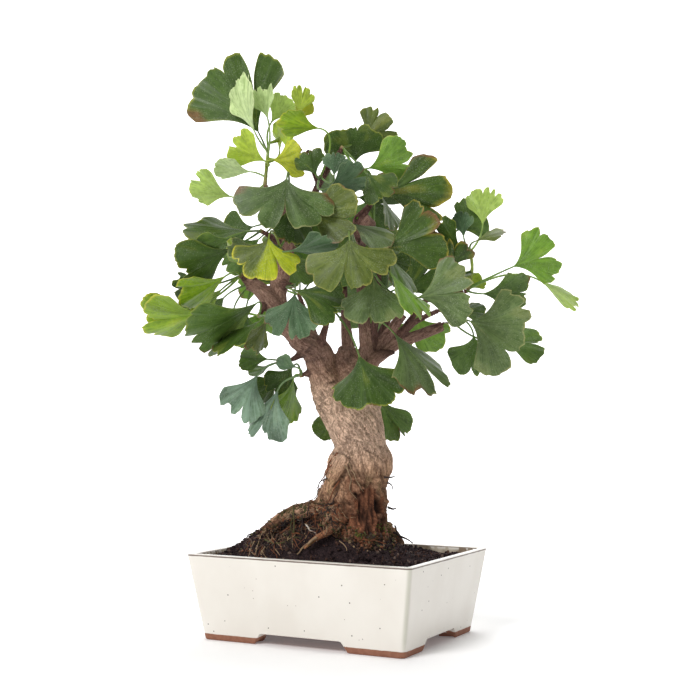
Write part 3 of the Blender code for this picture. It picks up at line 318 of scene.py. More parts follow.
# Greens: the blade's colour, its rim's, and its underside's, then how wide the rim is,
# how much of it is scorched, and how blotched the blade is
GREENS = {
    "dark": ((60, 84, 28), (146, 152, 60), (88, 120, 68), 0.024, 0.02, 0.42),
    "mid": ((80, 108, 44), (140, 154, 62), (104, 136, 80), 0.022, 0.02, 0.42),
    "bright": ((106, 146, 44), (168, 180, 76), (130, 166, 84), 0.022, 0.02, 0.40),
    "spring": ((124, 156, 30), (190, 190, 62), (140, 166, 60), 0.032, 0.02, 0.50),
    "fresh": ((156, 184, 86), (186, 200, 104), (164, 188, 104), 0.025, 0.0, 0.25),
    # lime is partly the young leaf's own green and partly painted light: the glow of a leaf lit
    # from behind
    "lime": ((166, 190, 62), (194, 204, 90), (170, 192, 84), 0.03, 0.0, 0.30),
    "yellow": ((166, 176, 44), (196, 194, 70), (162, 176, 70), 0.04, 0.03, 0.35),
    "golden": ((156, 170, 30), (196, 190, 56), (150, 164, 62), 0.04, 0.03, 0.5),
    # mint is partly the young leaf's own green and partly painted light: the glow of a leaf lit
    # from behind
    "mint": ((184, 206, 142), (206, 218, 160), (190, 208, 150), 0.02, 0.0, 0.16),
    "olive": ((82, 96, 36), (140, 140, 66), (112, 126, 72), 0.028, 0.04, 0.5),
    "rusty": ((60, 84, 24), (158, 146, 50), (98, 120, 64), 0.05, 0.06, 0.55),
    "grey": ((86, 106, 58), (146, 148, 92), (110, 130, 88), 0.024, 0.03, 0.5),
    "dusty": ((70, 92, 42), (146, 148, 92), (110, 130, 88), 0.024, 0.0, 0.7),
    "blue": ((74, 100, 68), (118, 140, 98), (104, 130, 100), 0.018, 0.02, 0.45),
    "pale_blue": ((104, 128, 106), (120, 142, 114), (116, 138, 116), 0.012, 0.0, 0.85),
}


def linear(colour):
    """A colour written 0 to 255 as a screen shows it, as linear values."""
    shown = np.asarray(colour, float) / 255
    return np.where(shown <= 0.04045, shown / 12.92, ((shown + 0.055) / 1.055) ** 2.4)


def plain(red, green, blue):
    """One colour written 0 to 255, as a tuple for a shader's socket or a property."""
    return tuple(linear((red, green, blue)))


def in_mm(metres):
    """A size that a property holds in metres, in mm and without stray digits."""
    return round(metres / MM, 6)


def hashed(cell, seed):
    """A number from 0 to 1 for each whole place, from mixing its three indices."""
    mixed = (cell[..., 0] * 374761393 + cell[..., 1] * 668265263 + cell[..., 2] * 974634777
             + seed * 362437)
    mixed = (mixed ^ (mixed >> 13)) * 1274126177
    mixed = mixed ^ (mixed >> 16)
    return (mixed & 0xFFFFFF) / 0xFFFFFF


def noise(points, seed=0):
    """Smooth noise from -1 to 1: a lattice of hashed values, blended by smoothsteps."""
    whole = np.floor(points)
    part = points - whole
    part = part * part * (3 - 2 * part)
    whole = whole.astype(np.int64)
    total = np.zeros(points.shape[:-1])
    for corner in np.ndindex(2, 2, 2):
        weight = np.prod(np.where(np.array(corner) == 1, part, 1 - part), axis=-1)
        total += weight * hashed(whole + np.array(corner), seed)
    return total * 2 - 1


def fractal(points, octaves=3, seed=0):
    """Noise at doubling scales, each half as strong as the one before."""
    total = np.zeros(points.shape[:-1])
    for octave in range(octaves):
        total += noise(points * 2 ** octave, seed + octave * 17) / 2 ** octave
    return total


def smoothstep(low, high, value):
    """A share from 0 at low to 1 at high: three times its square less twice its cube."""
    share = np.clip((value - low) / (high - low), 0, 1)
    return share * share * (3 - 2 * share)


def blend(first, second, share):
    """A colour between two, by a share for each point."""
    return first + (second - first) * np.asarray(share)[..., None]


def laid(colour, over, share):
    """A colour with another, written 0 to 255, laid over it by a share for each point."""
    return blend(colour, linear(over), share)


def to_pot(points):
    """Turn points from the drawing's axes (right, away, up) to the model's, in mm."""
    points = np.asarray(points, float)
    cosine, sine = math.cos(VIEW_TURN), math.sin(VIEW_TURN)
    turned = np.array(points)
    turned[..., 0] = cosine * points[..., 0] - sine * points[..., 1]
    turned[..., 1] = sine * points[..., 0] + cosine * points[..., 1]
    return turned + POT_CENTRE


def to_drawing(points):
    """Turn points in the model, in mm, back to the drawing's axes."""
    points = np.asarray(points, float) - POT_CENTRE
    cosine, sine = math.cos(VIEW_TURN), math.sin(VIEW_TURN)
    turned = np.array(points)
    turned[..., 0] = cosine * points[..., 0] + sine * points[..., 1]
    turned[..., 1] = -sine * points[..., 0] + cosine * points[..., 1]
    return turned


def place(across, up, depth):
    """A place in the drawing, moved along the line of sight to its depth."""
    flat = np.array((across, 0.0, up), float)
    return EYE + (flat - EYE) * (1.0 + depth / -EYE[1])


def unit(vectors):
    """Vectors divided by their own lengths."""
    return vectors / np.maximum(np.linalg.norm(vectors, axis=-1, keepdims=True), 1e-12)


def grid_quads(rows, columns, start=0, wrap=False):
    """Quads of a grid of points stored row by row, closed round its columns if wrapped."""
    row, column = np.meshgrid(np.arange(rows - 1), np.arange(columns - (not wrap)),
                              indexing="ij")
    nxt = (column + 1) % columns
    a = row * columns + column
    b = row * columns + nxt
    return start + np.stack((a, b, b + columns, a + columns), axis=-1).reshape(-1, 4)


def smooth_path(points, steps):
    """A Catmull-Rom curve through the points, with their radii carried along."""
    points = np.asarray(points, float)
    ends = np.vstack((2 * points[0] - points[1], points, 2 * points[-1] - points[-2]))
    t = (np.arange(steps) / steps)[:, None]
    run = [0.5 * (2 * b + (c - a) * t + (2 * a - 5 * b + 4 * c - d) * t ** 2
                  + (3 * b - a - 3 * c + d) * t ** 3)
           for a, b, c, d in zip(ends[:-3], ends[1:-2], ends[2:-1], ends[3:])]
    return np.vstack(run + [points[-1:]])


def tube(path, radii, sides):
    """A round profile carried along a path, its ends closed to points."""
    path, radii = np.asarray(path, float), np.asarray(radii, float)
    path = np.vstack((path[:1], path, path[-1:]))
    radii = np.concatenate(((0,), radii, (0,)))
    tangents = unit(np.gradient(path, axis=0))
    tangents[0], tangents[-1] = tangents[1], tangents[-2]
    side = np.cross(tangents[0], (0.31, 0.87, 0.22))
    sides_along = np.empty_like(path)
    for index, along in enumerate(tangents):
        side = unit(side - along * np.dot(side, along))
        sides_along[index] = side
    others = np.cross(tangents, sides_along)
    angle = np.linspace(0, 2 * math.pi, sides, endpoint=False)
    spokes = (sides_along[:, None] * np.cos(angle)[:, None]
              + others[:, None] * np.sin(angle)[:, None])
    points = path[:, None] + spokes * radii[:, None, None]
    return points.reshape(-1, 3), grid_quads(len(path), sides, wrap=True)


def joined(parts):
    """Several (points, quads, values by name) as one."""
    start = 0
    points, quads = [], []
    values = {name: [] for name in parts[0][2]}
    for part_points, part_quads, part_values in parts:
        points.append(part_points)
        quads.append(part_quads + start)
        for name, value in part_values.items():
            values[name].append(value)
        start += len(part_points)
    return (np.vstack(points), np.vstack(quads),
            {name: np.vstack(value) for name, value in values.items()})


def new_mesh(name, points, quads):
    """A mesh from points in mm and faces of four."""
    mesh = bpy.data.meshes.new(name)
    mesh.from_pydata(np.asarray(points) * MM, [], np.asarray(quads))
    return mesh


def new_object(name, data):
    """An object for a mesh, lamp or camera, linked to the scene."""
    made = bpy.data.objects.new(name, data)
    bpy.context.scene.collection.objects.link(made)
    return made


def from_vertices(mesh, what="co"):
    """The places or normals of a mesh's vertices, as one array."""
    made = np.empty((len(mesh.vertices), 3), np.float32)
    mesh.vertices.foreach_get(what, made.ravel())
    return made.astype(float)


def set_values(mesh, values):
    """Put values by name at a mesh's points: tint as a colour, any other as a vector."""
    for key, value in values.items():
        value = np.asarray(value, float)
        if key == "tint":
            layer = mesh.attributes.new(key, "FLOAT_COLOR", "POINT")
            value = np.hstack((value, np.ones((len(value), 1))))
            layer.data.foreach_set("color", value.astype(np.float32).ravel())
        else:
            layer = mesh.attributes.new(key, "FLOAT_VECTOR", "POINT")
            layer.data.foreach_set("vector", value.astype(np.float32).ravel())


def turn_outwards(mesh, slivers=False):
    """Merge points that coincide, dissolve slivers if asked, and face all faces outwards."""
    shape = bmesh.new()
    shape.from_mesh(mesh)
    bmesh.ops.remove_doubles(shape, verts=shape.verts, dist=1e-7)
    if slivers:
        bmesh.ops.dissolve_degenerate(shape, edges=shape.edges, dist=1e-7)
    bmesh.ops.recalc_face_normals(shape, faces=shape.faces)
    shape.to_mesh(mesh)
    shape.free()


def finish_piece(name, mesh, surface, sharp=None, replaces=()):
    """A piece from its mesh and the name of its surface, smooth up to an angle."""
    mesh.materials.clear()
    mesh.materials.append(bpy.data.materials[surface])
    mesh.shade_smooth()
    if sharp:
        mesh.set_sharp_from_angle(angle=math.radians(sharp))
    piece = new_object(name, mesh)
    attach(piece, "root")
    if replaces:
        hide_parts(*replaces)
    return piece


def new_piece(name, points, quads, values, surface, sharp=None, replaces=()):
    """A piece from points in mm, with its values as colours or vectors at its points."""
    mesh = new_mesh(name, points, quads)
    set_values(mesh, values)
    turn_outwards(mesh, slivers=True)
    return finish_piece(name, mesh, surface, sharp, replaces)


class Nodes:
    """Short ways to add and join shader nodes in one tree."""

    def __init__(self, tree):
        self.tree = tree

    def add(self, kind, **settings):
        """A node with its own settings, or its sockets' numbers by their names."""
        made = self.tree.nodes.new("ShaderNode" + kind)
        for name, value in settings.items():
            if hasattr(made, name):
                setattr(made, name, value)
            else:
                made.inputs[name.replace("_", " ").title()].default_value = value
        return made

    def join(self, output, target):
        self.tree.links.new(output, target)

    def maths(self, operation, first, second=None, third=None):
        """A maths node on numbers or outputs."""
        made = self.tree.nodes.new("ShaderNodeMath")
        made.operation = operation
        for index, value in enumerate((first, second, third)):
            if value is None:
                continue
            if isinstance(value, (int, float)):
                made.inputs[index].default_value = value
            else:
                self.join(value, made.inputs[index])
        return made.outputs[0]

    def mix(self, share, first, second, blend_type="MIX"):
        """A colour between two, each a tuple or an output."""
        made = self.tree.nodes.new("ShaderNodeMix")
        made.data_type = "RGBA"
        made.blend_type = blend_type
        for socket, value in ((made.inputs[0], share), (made.inputs[6], first),
                              (made.inputs[7], second)):
            if isinstance(value, (int, float)):
                socket.default_value = value
            elif isinstance(value, tuple):
                socket.default_value = (*value, 1.0)
            else:
                self.join(value, socket)
        return made.outputs[2]

    def ramp(self, value, low, high):
        """A smooth step from 0 at low to 1 at high."""
        made = self.tree.nodes.new("ShaderNodeMapRange")
        made.interpolation_type = "SMOOTHSTEP"
        made.inputs["From Min"].default_value = low
        made.inputs["From Max"].default_value = high
        self.join(value, made.inputs["Value"])
        return made.outputs["Result"]

    def even_noise(self, vector, scale, detail=3.0):
        """Noise on a vector, at one scale along all its axes."""
        return self.stretched_noise(vector, (1, 1, 1), scale, detail)

    def stretched_noise(self, vector, stretch, scale, detail=3.0):
        """Noise on a vector scaled by its own amount along each axis."""
        scaled = self.tree.nodes.new("ShaderNodeVectorMath")
        scaled.operation = "MULTIPLY"
        scaled.inputs[1].default_value = stretch
        self.join(vector, scaled.inputs[0])
        made = self.add("TexNoise", scale=scale, detail=detail)
        self.join(scaled.outputs[0], made.inputs["Vector"])
        return made.outputs["Fac"]


def new_group(name, inputs, outputs):
    """An empty shader node group with named sockets: (name, kind, default)."""
    group = bpy.data.node_groups.new(name, "ShaderNodeTree")
    for label, kind, default in inputs:
        socket = group.interface.new_socket(label, in_out="INPUT", socket_type=kind)
        if default is not None:
            socket.default_value = default
    for label, kind in outputs:
        group.interface.new_socket(label, in_out="OUTPUT", socket_type=kind)
    nodes = Nodes(group)
    given = group.nodes.new("NodeGroupInput")
    return group, nodes, given, group.nodes.new("NodeGroupOutput")


def vein_group():
    """Fan veins: fine noise drawn out along the blade, as a mask and a height."""
    group, nodes, given, out = new_group(
        "fan veins", (("Fan", "NodeSocketVector", None), ("Count", "NodeSocketFloat", 30.0)),
        (("Mask", "NodeSocketFloat"), ("Height", "NodeSocketFloat")))
    parts = nodes.add("SeparateXYZ")
    nodes.join(given.outputs["Fan"], parts.inputs[0])
    across = nodes.maths("MULTIPLY", parts.outputs[0], given.outputs["Count"])
    spread = nodes.add("CombineXYZ")
    nodes.join(across, spread.inputs[0])
    nodes.join(parts.outputs[1], spread.inputs[1])
    nodes.join(parts.outputs[2], spread.inputs[2])
    coarse = nodes.stretched_noise(spread.outputs[0], (1.0, 1.2, 1.0), 1.0, 2.0)
    fine = nodes.stretched_noise(spread.outputs[0], (2.6, 2.0, 1.0), 1.0, 2.0)
    height = nodes.maths("ADD", nodes.maths("MULTIPLY", coarse, 0.6),
                         nodes.maths("MULTIPLY", fine, 0.4))
    nodes.join(nodes.ramp(height, 0.42, 0.62), out.inputs["Mask"])
    nodes.join(height, out.inputs["Height"])
    return group


def speckle_group():
    """Small specks: round cells thinned out by noise, as a mask."""
    group, nodes, given, out = new_group(
        "specks", (("Vector", "NodeSocketVector", None), ("Scale", "NodeSocketFloat", 400.0),
                   ("Size", "NodeSocketFloat", 0.2), ("Share", "NodeSocketFloat", 0.3)),
        (("Mask", "NodeSocketFloat"),))
    cells = nodes.add("TexVoronoi")
    nodes.join(given.outputs["Vector"], cells.inputs["Vector"])
    nodes.join(given.outputs["Scale"], cells.inputs["Scale"])
    chosen = nodes.add("SeparateColor")
    nodes.join(cells.outputs["Color"], chosen.inputs[0])
    kept = nodes.maths("LESS_THAN", chosen.outputs[0], given.outputs["Share"])
    near = nodes.maths("SUBTRACT", given.outputs["Size"], cells.outputs["Distance"])
    spot = nodes.ramp(near, 0.0, 0.03)
    nodes.join(nodes.maths("MULTIPLY", spot, kept), out.inputs["Mask"])
    return group


def placed_group(nodes, group, **inputs):
    """The outputs of a group, placed by its name with numbers or outputs as its inputs."""
    made = nodes.tree.nodes.new("ShaderNodeGroup")
    made.node_tree = bpy.data.node_groups[group]
    for name, value in inputs.items():
        if isinstance(value, (int, float)):
            made.inputs[name].default_value = value
        else:
            nodes.join(value, made.inputs[name])
    return made.outputs


def new_surface(name, roughness, specular=0.5):
    """A material with its Principled shader and a short way to add its nodes."""
    made = bpy.data.materials.new(name)
    made.use_nodes = True
    shader = made.node_tree.nodes["Principled BSDF"]
    shader.inputs["Roughness"].default_value = roughness
    shader.inputs["Specular IOR Level"].default_value = specular
    return made, Nodes(made.node_tree), shader


def bump(nodes, shader, height, strength, distance):
    """A bump on a shader from a height, with its distance in mm."""
    made = nodes.add("Bump")
    made.inputs["Strength"].default_value = strength
    made.inputs["Distance"].default_value = distance * MM
    nodes.join(height, made.inputs["Height"])
    nodes.join(made.outputs[0], shader.inputs["Normal"])


def leaf_surface():
    """Leaf green from each point's tint, with fan veins and a satin sheen."""
    made, nodes, shader = new_surface("ginkgo leaf", 0.46, 0.3)
    tint = nodes.add("Attribute", attribute_name="tint").outputs["Color"]
    fan = nodes.add("Attribute", attribute_name="fan").outputs["Vector"]
    veins = placed_group(nodes, "fan veins", Fan=fan, Count=26.0)
    where = nodes.add("TexCoord").outputs["Object"]
    mottle = nodes.even_noise(where, 260.0)
    specks = placed_group(nodes, "specks", Vector=where, Scale=760.0,
                          Size=0.26, Share=0.3)
    darker = nodes.mix(1.0, tint, (0.70, 0.76, 0.66), "MULTIPLY")
    lighter = nodes.mix(1.0, tint, (1.22, 1.18, 1.26), "MULTIPLY")
    veined = nodes.mix(veins["Mask"], darker, lighter)
    mottled = nodes.mix(nodes.ramp(mottle, 0.35, 0.7), veined, lighter)
    dusted = nodes.mix(nodes.maths("MULTIPLY", specks["Mask"], 0.22), mottled,
                       plain(176, 186, 160))
    grit = nodes.even_noise(where, 1100.0, 4.0)
    patchy = nodes.even_noise(where, 60.0, 3.0)
    dust = nodes.maths("MULTIPLY", nodes.ramp(grit, 0.48, 0.72), nodes.ramp(patchy, 0.40, 0.66))
    dusted = nodes.mix(nodes.maths("MULTIPLY", dust, 0.32), dusted,
                       plain(168, 180, 152))
    nodes.join(dusted, shader.inputs["Base Color"])
    rough = nodes.maths("MULTIPLY_ADD", mottle, 0.24, 0.3)
    nodes.join(rough, shader.inputs["Roughness"])
    bump(nodes, shader, veins["Height"], 0.7, 0.4)
    return made


def thin_lines(nodes, value, low, high):
    """0 on the lines where noise passes through its middle value, and 1 beside them."""
    away = nodes.maths("ABSOLUTE", nodes.maths("SUBTRACT", value, 0.5))
    return nodes.ramp(away, low, high)


def bark_surface():
    """Bark from each point's tint, with fissures drawn out along each limb in painted shade."""
    made, nodes, shader = new_surface("fissured bark", 0.82, 0.25)
    tint = nodes.add("Attribute", attribute_name="tint").outputs["Color"]
    grain = nodes.add("Attribute", attribute_name="grain").outputs["Vector"]
    where = nodes.add("TexCoord").outputs["Object"]
    broad = nodes.stretched_noise(grain, (1.0, 1.0, 0.22), 0.42, 4.0)
    narrow = nodes.stretched_noise(grain, (1.0, 1.0, 0.30), 0.95, 3.0)
    flakes = nodes.even_noise(where, 620.0, 4.0)
    lines = nodes.maths("MINIMUM", thin_lines(nodes, broad, -0.004, 0.034), nodes.maths(
        "MULTIPLY_ADD", thin_lines(nodes, narrow, -0.01, 0.06), 0.7, 0.3))
    # painted shade: the fissure lines take a darker copy of the tint than the bark beside them
    dark = nodes.mix(1.0, tint, (0.50, 0.43, 0.39), "MULTIPLY")
    light = nodes.mix(1.0, tint, (1.20, 1.18, 1.17), "MULTIPLY")
    lined = nodes.mix(lines, dark, light)
    worn = nodes.mix(1.0, lined, (0.78, 0.74, 0.72), "MULTIPLY")
    flaked = nodes.mix(nodes.ramp(flakes, 0.3, 0.72), worn, lined)
    nodes.join(flaked, shader.inputs["Base Color"])
    height = nodes.maths("ADD", lines, nodes.maths("MULTIPLY", flakes, 0.45))
    bump(nodes, shader, height, 0.9, 0.8)
    return made


def soil_surface():
    """Near-black crumbs with brown and reddish grains."""
    made, nodes, shader = new_surface("crumbly soil", 0.93, 0.2)
    tint = nodes.add("Attribute", attribute_name="tint").outputs["Color"]
    where = nodes.add("TexCoord").outputs["Object"]
    grains = nodes.even_noise(where, 900.0, 3.0)
    clods = nodes.even_noise(where, 260.0, 3.0)
    specks = placed_group(nodes, "specks", Vector=where, Scale=640.0,
                          Size=0.3, Share=0.12)
    dark = nodes.mix(1.0, tint, (0.45, 0.42, 0.42), "MULTIPLY")
    light = nodes.mix(1.0, tint, (1.7, 1.6, 1.5), "MULTIPLY")
    mixed = nodes.mix(nodes.ramp(grains, 0.34, 0.66), dark, light)
    specked = nodes.mix(nodes.maths("MULTIPLY", specks["Mask"], 0.6), mixed,
                        plain(112, 74, 54))
    nodes.join(specked, shader.inputs["Base Color"])
    bump(nodes, shader, nodes.maths("ADD", grains, clods), 1.0, 1.0)
    return made


def glaze_surface():
    """Cream glaze with dark pinholes, thin and brown at the rim's edges, bare clay below.

    The finish at each point is how bare it is, how near a rim line, and how near the front
    corner, or less than nothing on the stained inner wall.
    """
    own = bpy.context.scene.bonsai_pot
    made, nodes, shader = new_surface("cream glaze", 0.2)
    where = nodes.add("TexCoord").outputs["Object"]
    finish = nodes.add("Attribute", attribute_name="finish").outputs["Vector"]
    parts = nodes.add("SeparateXYZ")
    nodes.join(finish, parts.inputs[0])
    clouds = nodes.stretched_noise(where, (1, 1, 0.6), 26.0, 3.0)
    cream = nodes.mix(nodes.ramp(clouds, 0.3, 0.7), tuple(own.glaze), tuple(own.glaze_light))
    cornered = nodes.mix(nodes.ramp(parts.outputs[2], 0.2, 1.0), cream,
                         plain(204, 203, 188))
    stains = nodes.stretched_noise(where, (1, 1, 0.35), 70.0, 4.0)
    stained = nodes.mix(nodes.ramp(stains, 0.36, 0.66), plain(136, 118, 98),
                        plain(204, 194, 176))
    toned = nodes.mix(nodes.ramp(parts.outputs[2], -0.1, -0.7), cornered, stained)
    pin = placed_group(nodes, "specks", Vector=where, Scale=120.0,
                       Size=0.085, Share=0.75)
    fine = placed_group(nodes, "specks", Vector=where, Scale=260.0,
                        Size=0.12, Share=0.10)
    ragged = nodes.even_noise(where, 140.0, 3.0)
    specked = nodes.mix(nodes.maths("MULTIPLY", pin["Mask"], 0.85), toned,
                        plain(74, 60, 50))
    specked = nodes.mix(nodes.maths("MULTIPLY", fine["Mask"], 0.6), specked,
                        plain(120, 100, 84))
    uneven = nodes.maths("MULTIPLY_ADD", ragged, 0.6, -0.3)
    edge = nodes.ramp(nodes.maths("ADD", parts.outputs[1], uneven), 0.22, 0.66)
    lined = nodes.mix(nodes.maths("MULTIPLY", edge, 0.9), specked, plain(96, 76, 66))
    clay_noise = nodes.even_noise(where, 300.0, 4.0)
    clay = nodes.mix(clay_noise, plain(120, 74, 54), plain(166, 116, 92))
    uneven = nodes.maths("MULTIPLY_ADD", ragged, 0.24, -0.12)
    bare = nodes.ramp(nodes.maths("ADD", parts.outputs[0], uneven), 0.42, 0.56)
    nodes.join(nodes.mix(bare, lined, clay), shader.inputs["Base Color"])
    rough = nodes.maths("MULTIPLY_ADD", bare, 0.6, 0.2)
    nodes.join(rough, shader.inputs["Roughness"])
    height = nodes.maths("SUBTRACT", nodes.maths("MULTIPLY", clay_noise, bare),
                         nodes.maths("MULTIPLY", pin["Mask"], 0.5))
    bump(nodes, shader, height, 0.5, 0.4)
    return made


def fibre_surface():
    """Rootlets, dead twigs and moss, from each point's tint."""
    made, nodes, shader = new_surface("root fibre", 0.8)
    tint = nodes.add("Attribute", attribute_name="tint").outputs["Color"]
    where = nodes.add("TexCoord").outputs["Object"]
    mottle = nodes.even_noise(where, 700.0, 3.0)
    dark = nodes.mix(1.0, tint, (0.6, 0.56, 0.52), "MULTIPLY")
    nodes.join(nodes.mix(nodes.ramp(mottle, 0.3, 0.65), dark, tint), shader.inputs["Base Color"])
    bump(nodes, shader, mottle, 0.6, 0.5)
    return made


def rectangle_ring(length, width, corner, count):
    """Points round a rectangle with round corners: (count, 2), corners drawn with arcs."""
    arc, side = count // 16, count // 4 - count // 16
    points = []
    for turn, (sx, sy) in enumerate(((1, 1), (-1, 1), (-1, -1), (1, -1))):
        angle = math.pi / 2 * (turn + np.arange(arc + 1) / arc)
        middle = np.array((sx * (length / 2 - corner), sy * (width / 2 - corner)))
        round_part = middle + corner * np.stack((np.cos(angle), np.sin(angle)), -1)
        nx, ny = ((-1, 1), (-1, -1), (1, -1), (1, 1))[turn]
        ahead_middle = np.array((nx * (length / 2 - corner), ny * (width / 2 - corner)))
        turned = math.pi / 2 * (turn + 1)
        ahead = ahead_middle + corner * np.array((math.cos(turned), math.sin(turned)))
        t = (np.arange(1, side) / side)[:, None]
        points += [round_part, round_part[-1] + (ahead - round_part[-1]) * t]
    return np.vstack(points)


def foot_profile(x, y, inset):
    """Height of the pot's lower edge: 0 at a foot, the full gap between feet, slanted."""
    long_half = (POT_LENGTH - 2 * POT_TAPER) * (0.5 - FOOT_SHARE)
    wide_half = (POT_WIDTH - 2 * POT_TAPER) * (0.5 - FOOT_SHARE)
    on_long = np.abs(np.abs(y) - (POT_WIDTH / 2 - inset)) < 3.0
    along = np.where(on_long, np.abs(x), np.abs(y))
    half = np.where(on_long, long_half, wide_half)
    return FOOT_HEIGHT * np.clip((half + FOOT_SLANT - along) / FOOT_SLANT, 0, 1)


class BonsaiPot(bpy.types.PropertyGroup):
    """Sizes and glaze of the pot"""
    corner: bpy.props.FloatProperty(
        name="Corner", description="Radius of the pot's corners", default=0.004, min=0.001,
        max=0.012, precision=4, subtype="DISTANCE", unit="LENGTH")
    steps: bpy.props.IntProperty(
        name="Steps", description="Points round the pot", default=480, min=96, max=960)
    glaze: bpy.props.FloatVectorProperty(
        name="Glaze", description="Darker tone of the glaze", default=plain(230, 225, 216),
        min=0.0, max=1.0, size=3, subtype="COLOR")
    glaze_light: bpy.props.FloatVectorProperty(
        name="Light glaze", description="Lighter tone of the glaze", default=plain(237, 233, 225),
        min=0.0, max=1.0, size=3, subtype="COLOR")


class BonsaiFoliage(bpy.types.PropertyGroup):
    """Detail of the leaves and the colour of their burns"""
    columns: bpy.props.IntProperty(
        name="Columns", description="Points across each blade", default=45, min=15, max=121)
    rows: bpy.props.IntProperty(
        name="Rows", description="Points along each blade", default=13, min=5, max=40)
    thickness: bpy.props.FloatProperty(
        name="Thickness", description="Thickness of the blades", default=0.0005, min=0.0002,
        max=0.001, precision=4, subtype="DISTANCE", unit="LENGTH")
    scallop: bpy.props.FloatProperty(
        name="Scallop", description="Depth of edge waves, as a share of length",
        default=0.028, min=0.0, max=0.1, subtype="FACTOR")
    scorch: bpy.props.FloatVectorProperty(
        name="Scorch", description="Colour of burnt margins", default=plain(104, 74, 44), min=0.0,
        max=1.0, size=3, subtype="COLOR")


class BonsaiBark(bpy.types.PropertyGroup):
    """Detail and colour of the bark"""
    voxel: bpy.props.FloatProperty(
        name="Voxel", description="Size of the bark's mesh", default=0.00112, min=0.0008,
        max=0.004, precision=5, subtype="DISTANCE", unit="LENGTH")
    relief: bpy.props.FloatProperty(
        name="Relief", description="Height of the ridges", default=0.001, min=0.0, max=0.003,
        precision=4, subtype="DISTANCE", unit="LENGTH")
    bark: bpy.props.FloatVectorProperty(
        name="Bark", description="Ground colour of the bark", default=plain(204, 164, 132),
        min=0.0, max=1.0, size=3, subtype="COLOR")


class BonsaiSoil(bpy.types.PropertyGroup):
    """Colour of the soil and what lies on it"""
    crumbs: bpy.props.IntProperty(
        name="Crumbs", description="Loose crumbs of soil", default=2600, min=0, max=8000)
    rootlets: bpy.props.IntProperty(
        name="Rootlets", description="Fine roots on the mound", default=90, min=0, max=400)
    chips: bpy.props.IntProperty(
        name="Chips", description="Chips of dead leaf and bark", default=420, min=1, max=2000)
    earth: bpy.props.FloatVectorProperty(
        name="Earth", description="Colour of the soil", default=plain(46, 36, 39), min=0.0,
        max=1.0, size=3, subtype="COLOR")


class MakeSurfaces(bpy.types.Operator):
    """Make the shared shader groups and the materials"""
    bl_idname = "bonsai.surfaces"
    bl_label = "Surfaces"

    def execute(self, context):
        vein_group()
        speckle_group()
        leaf_surface()
        bark_surface()
        soil_surface()
        glaze_surface()
        fibre_surface()
        return {"FINISHED"}


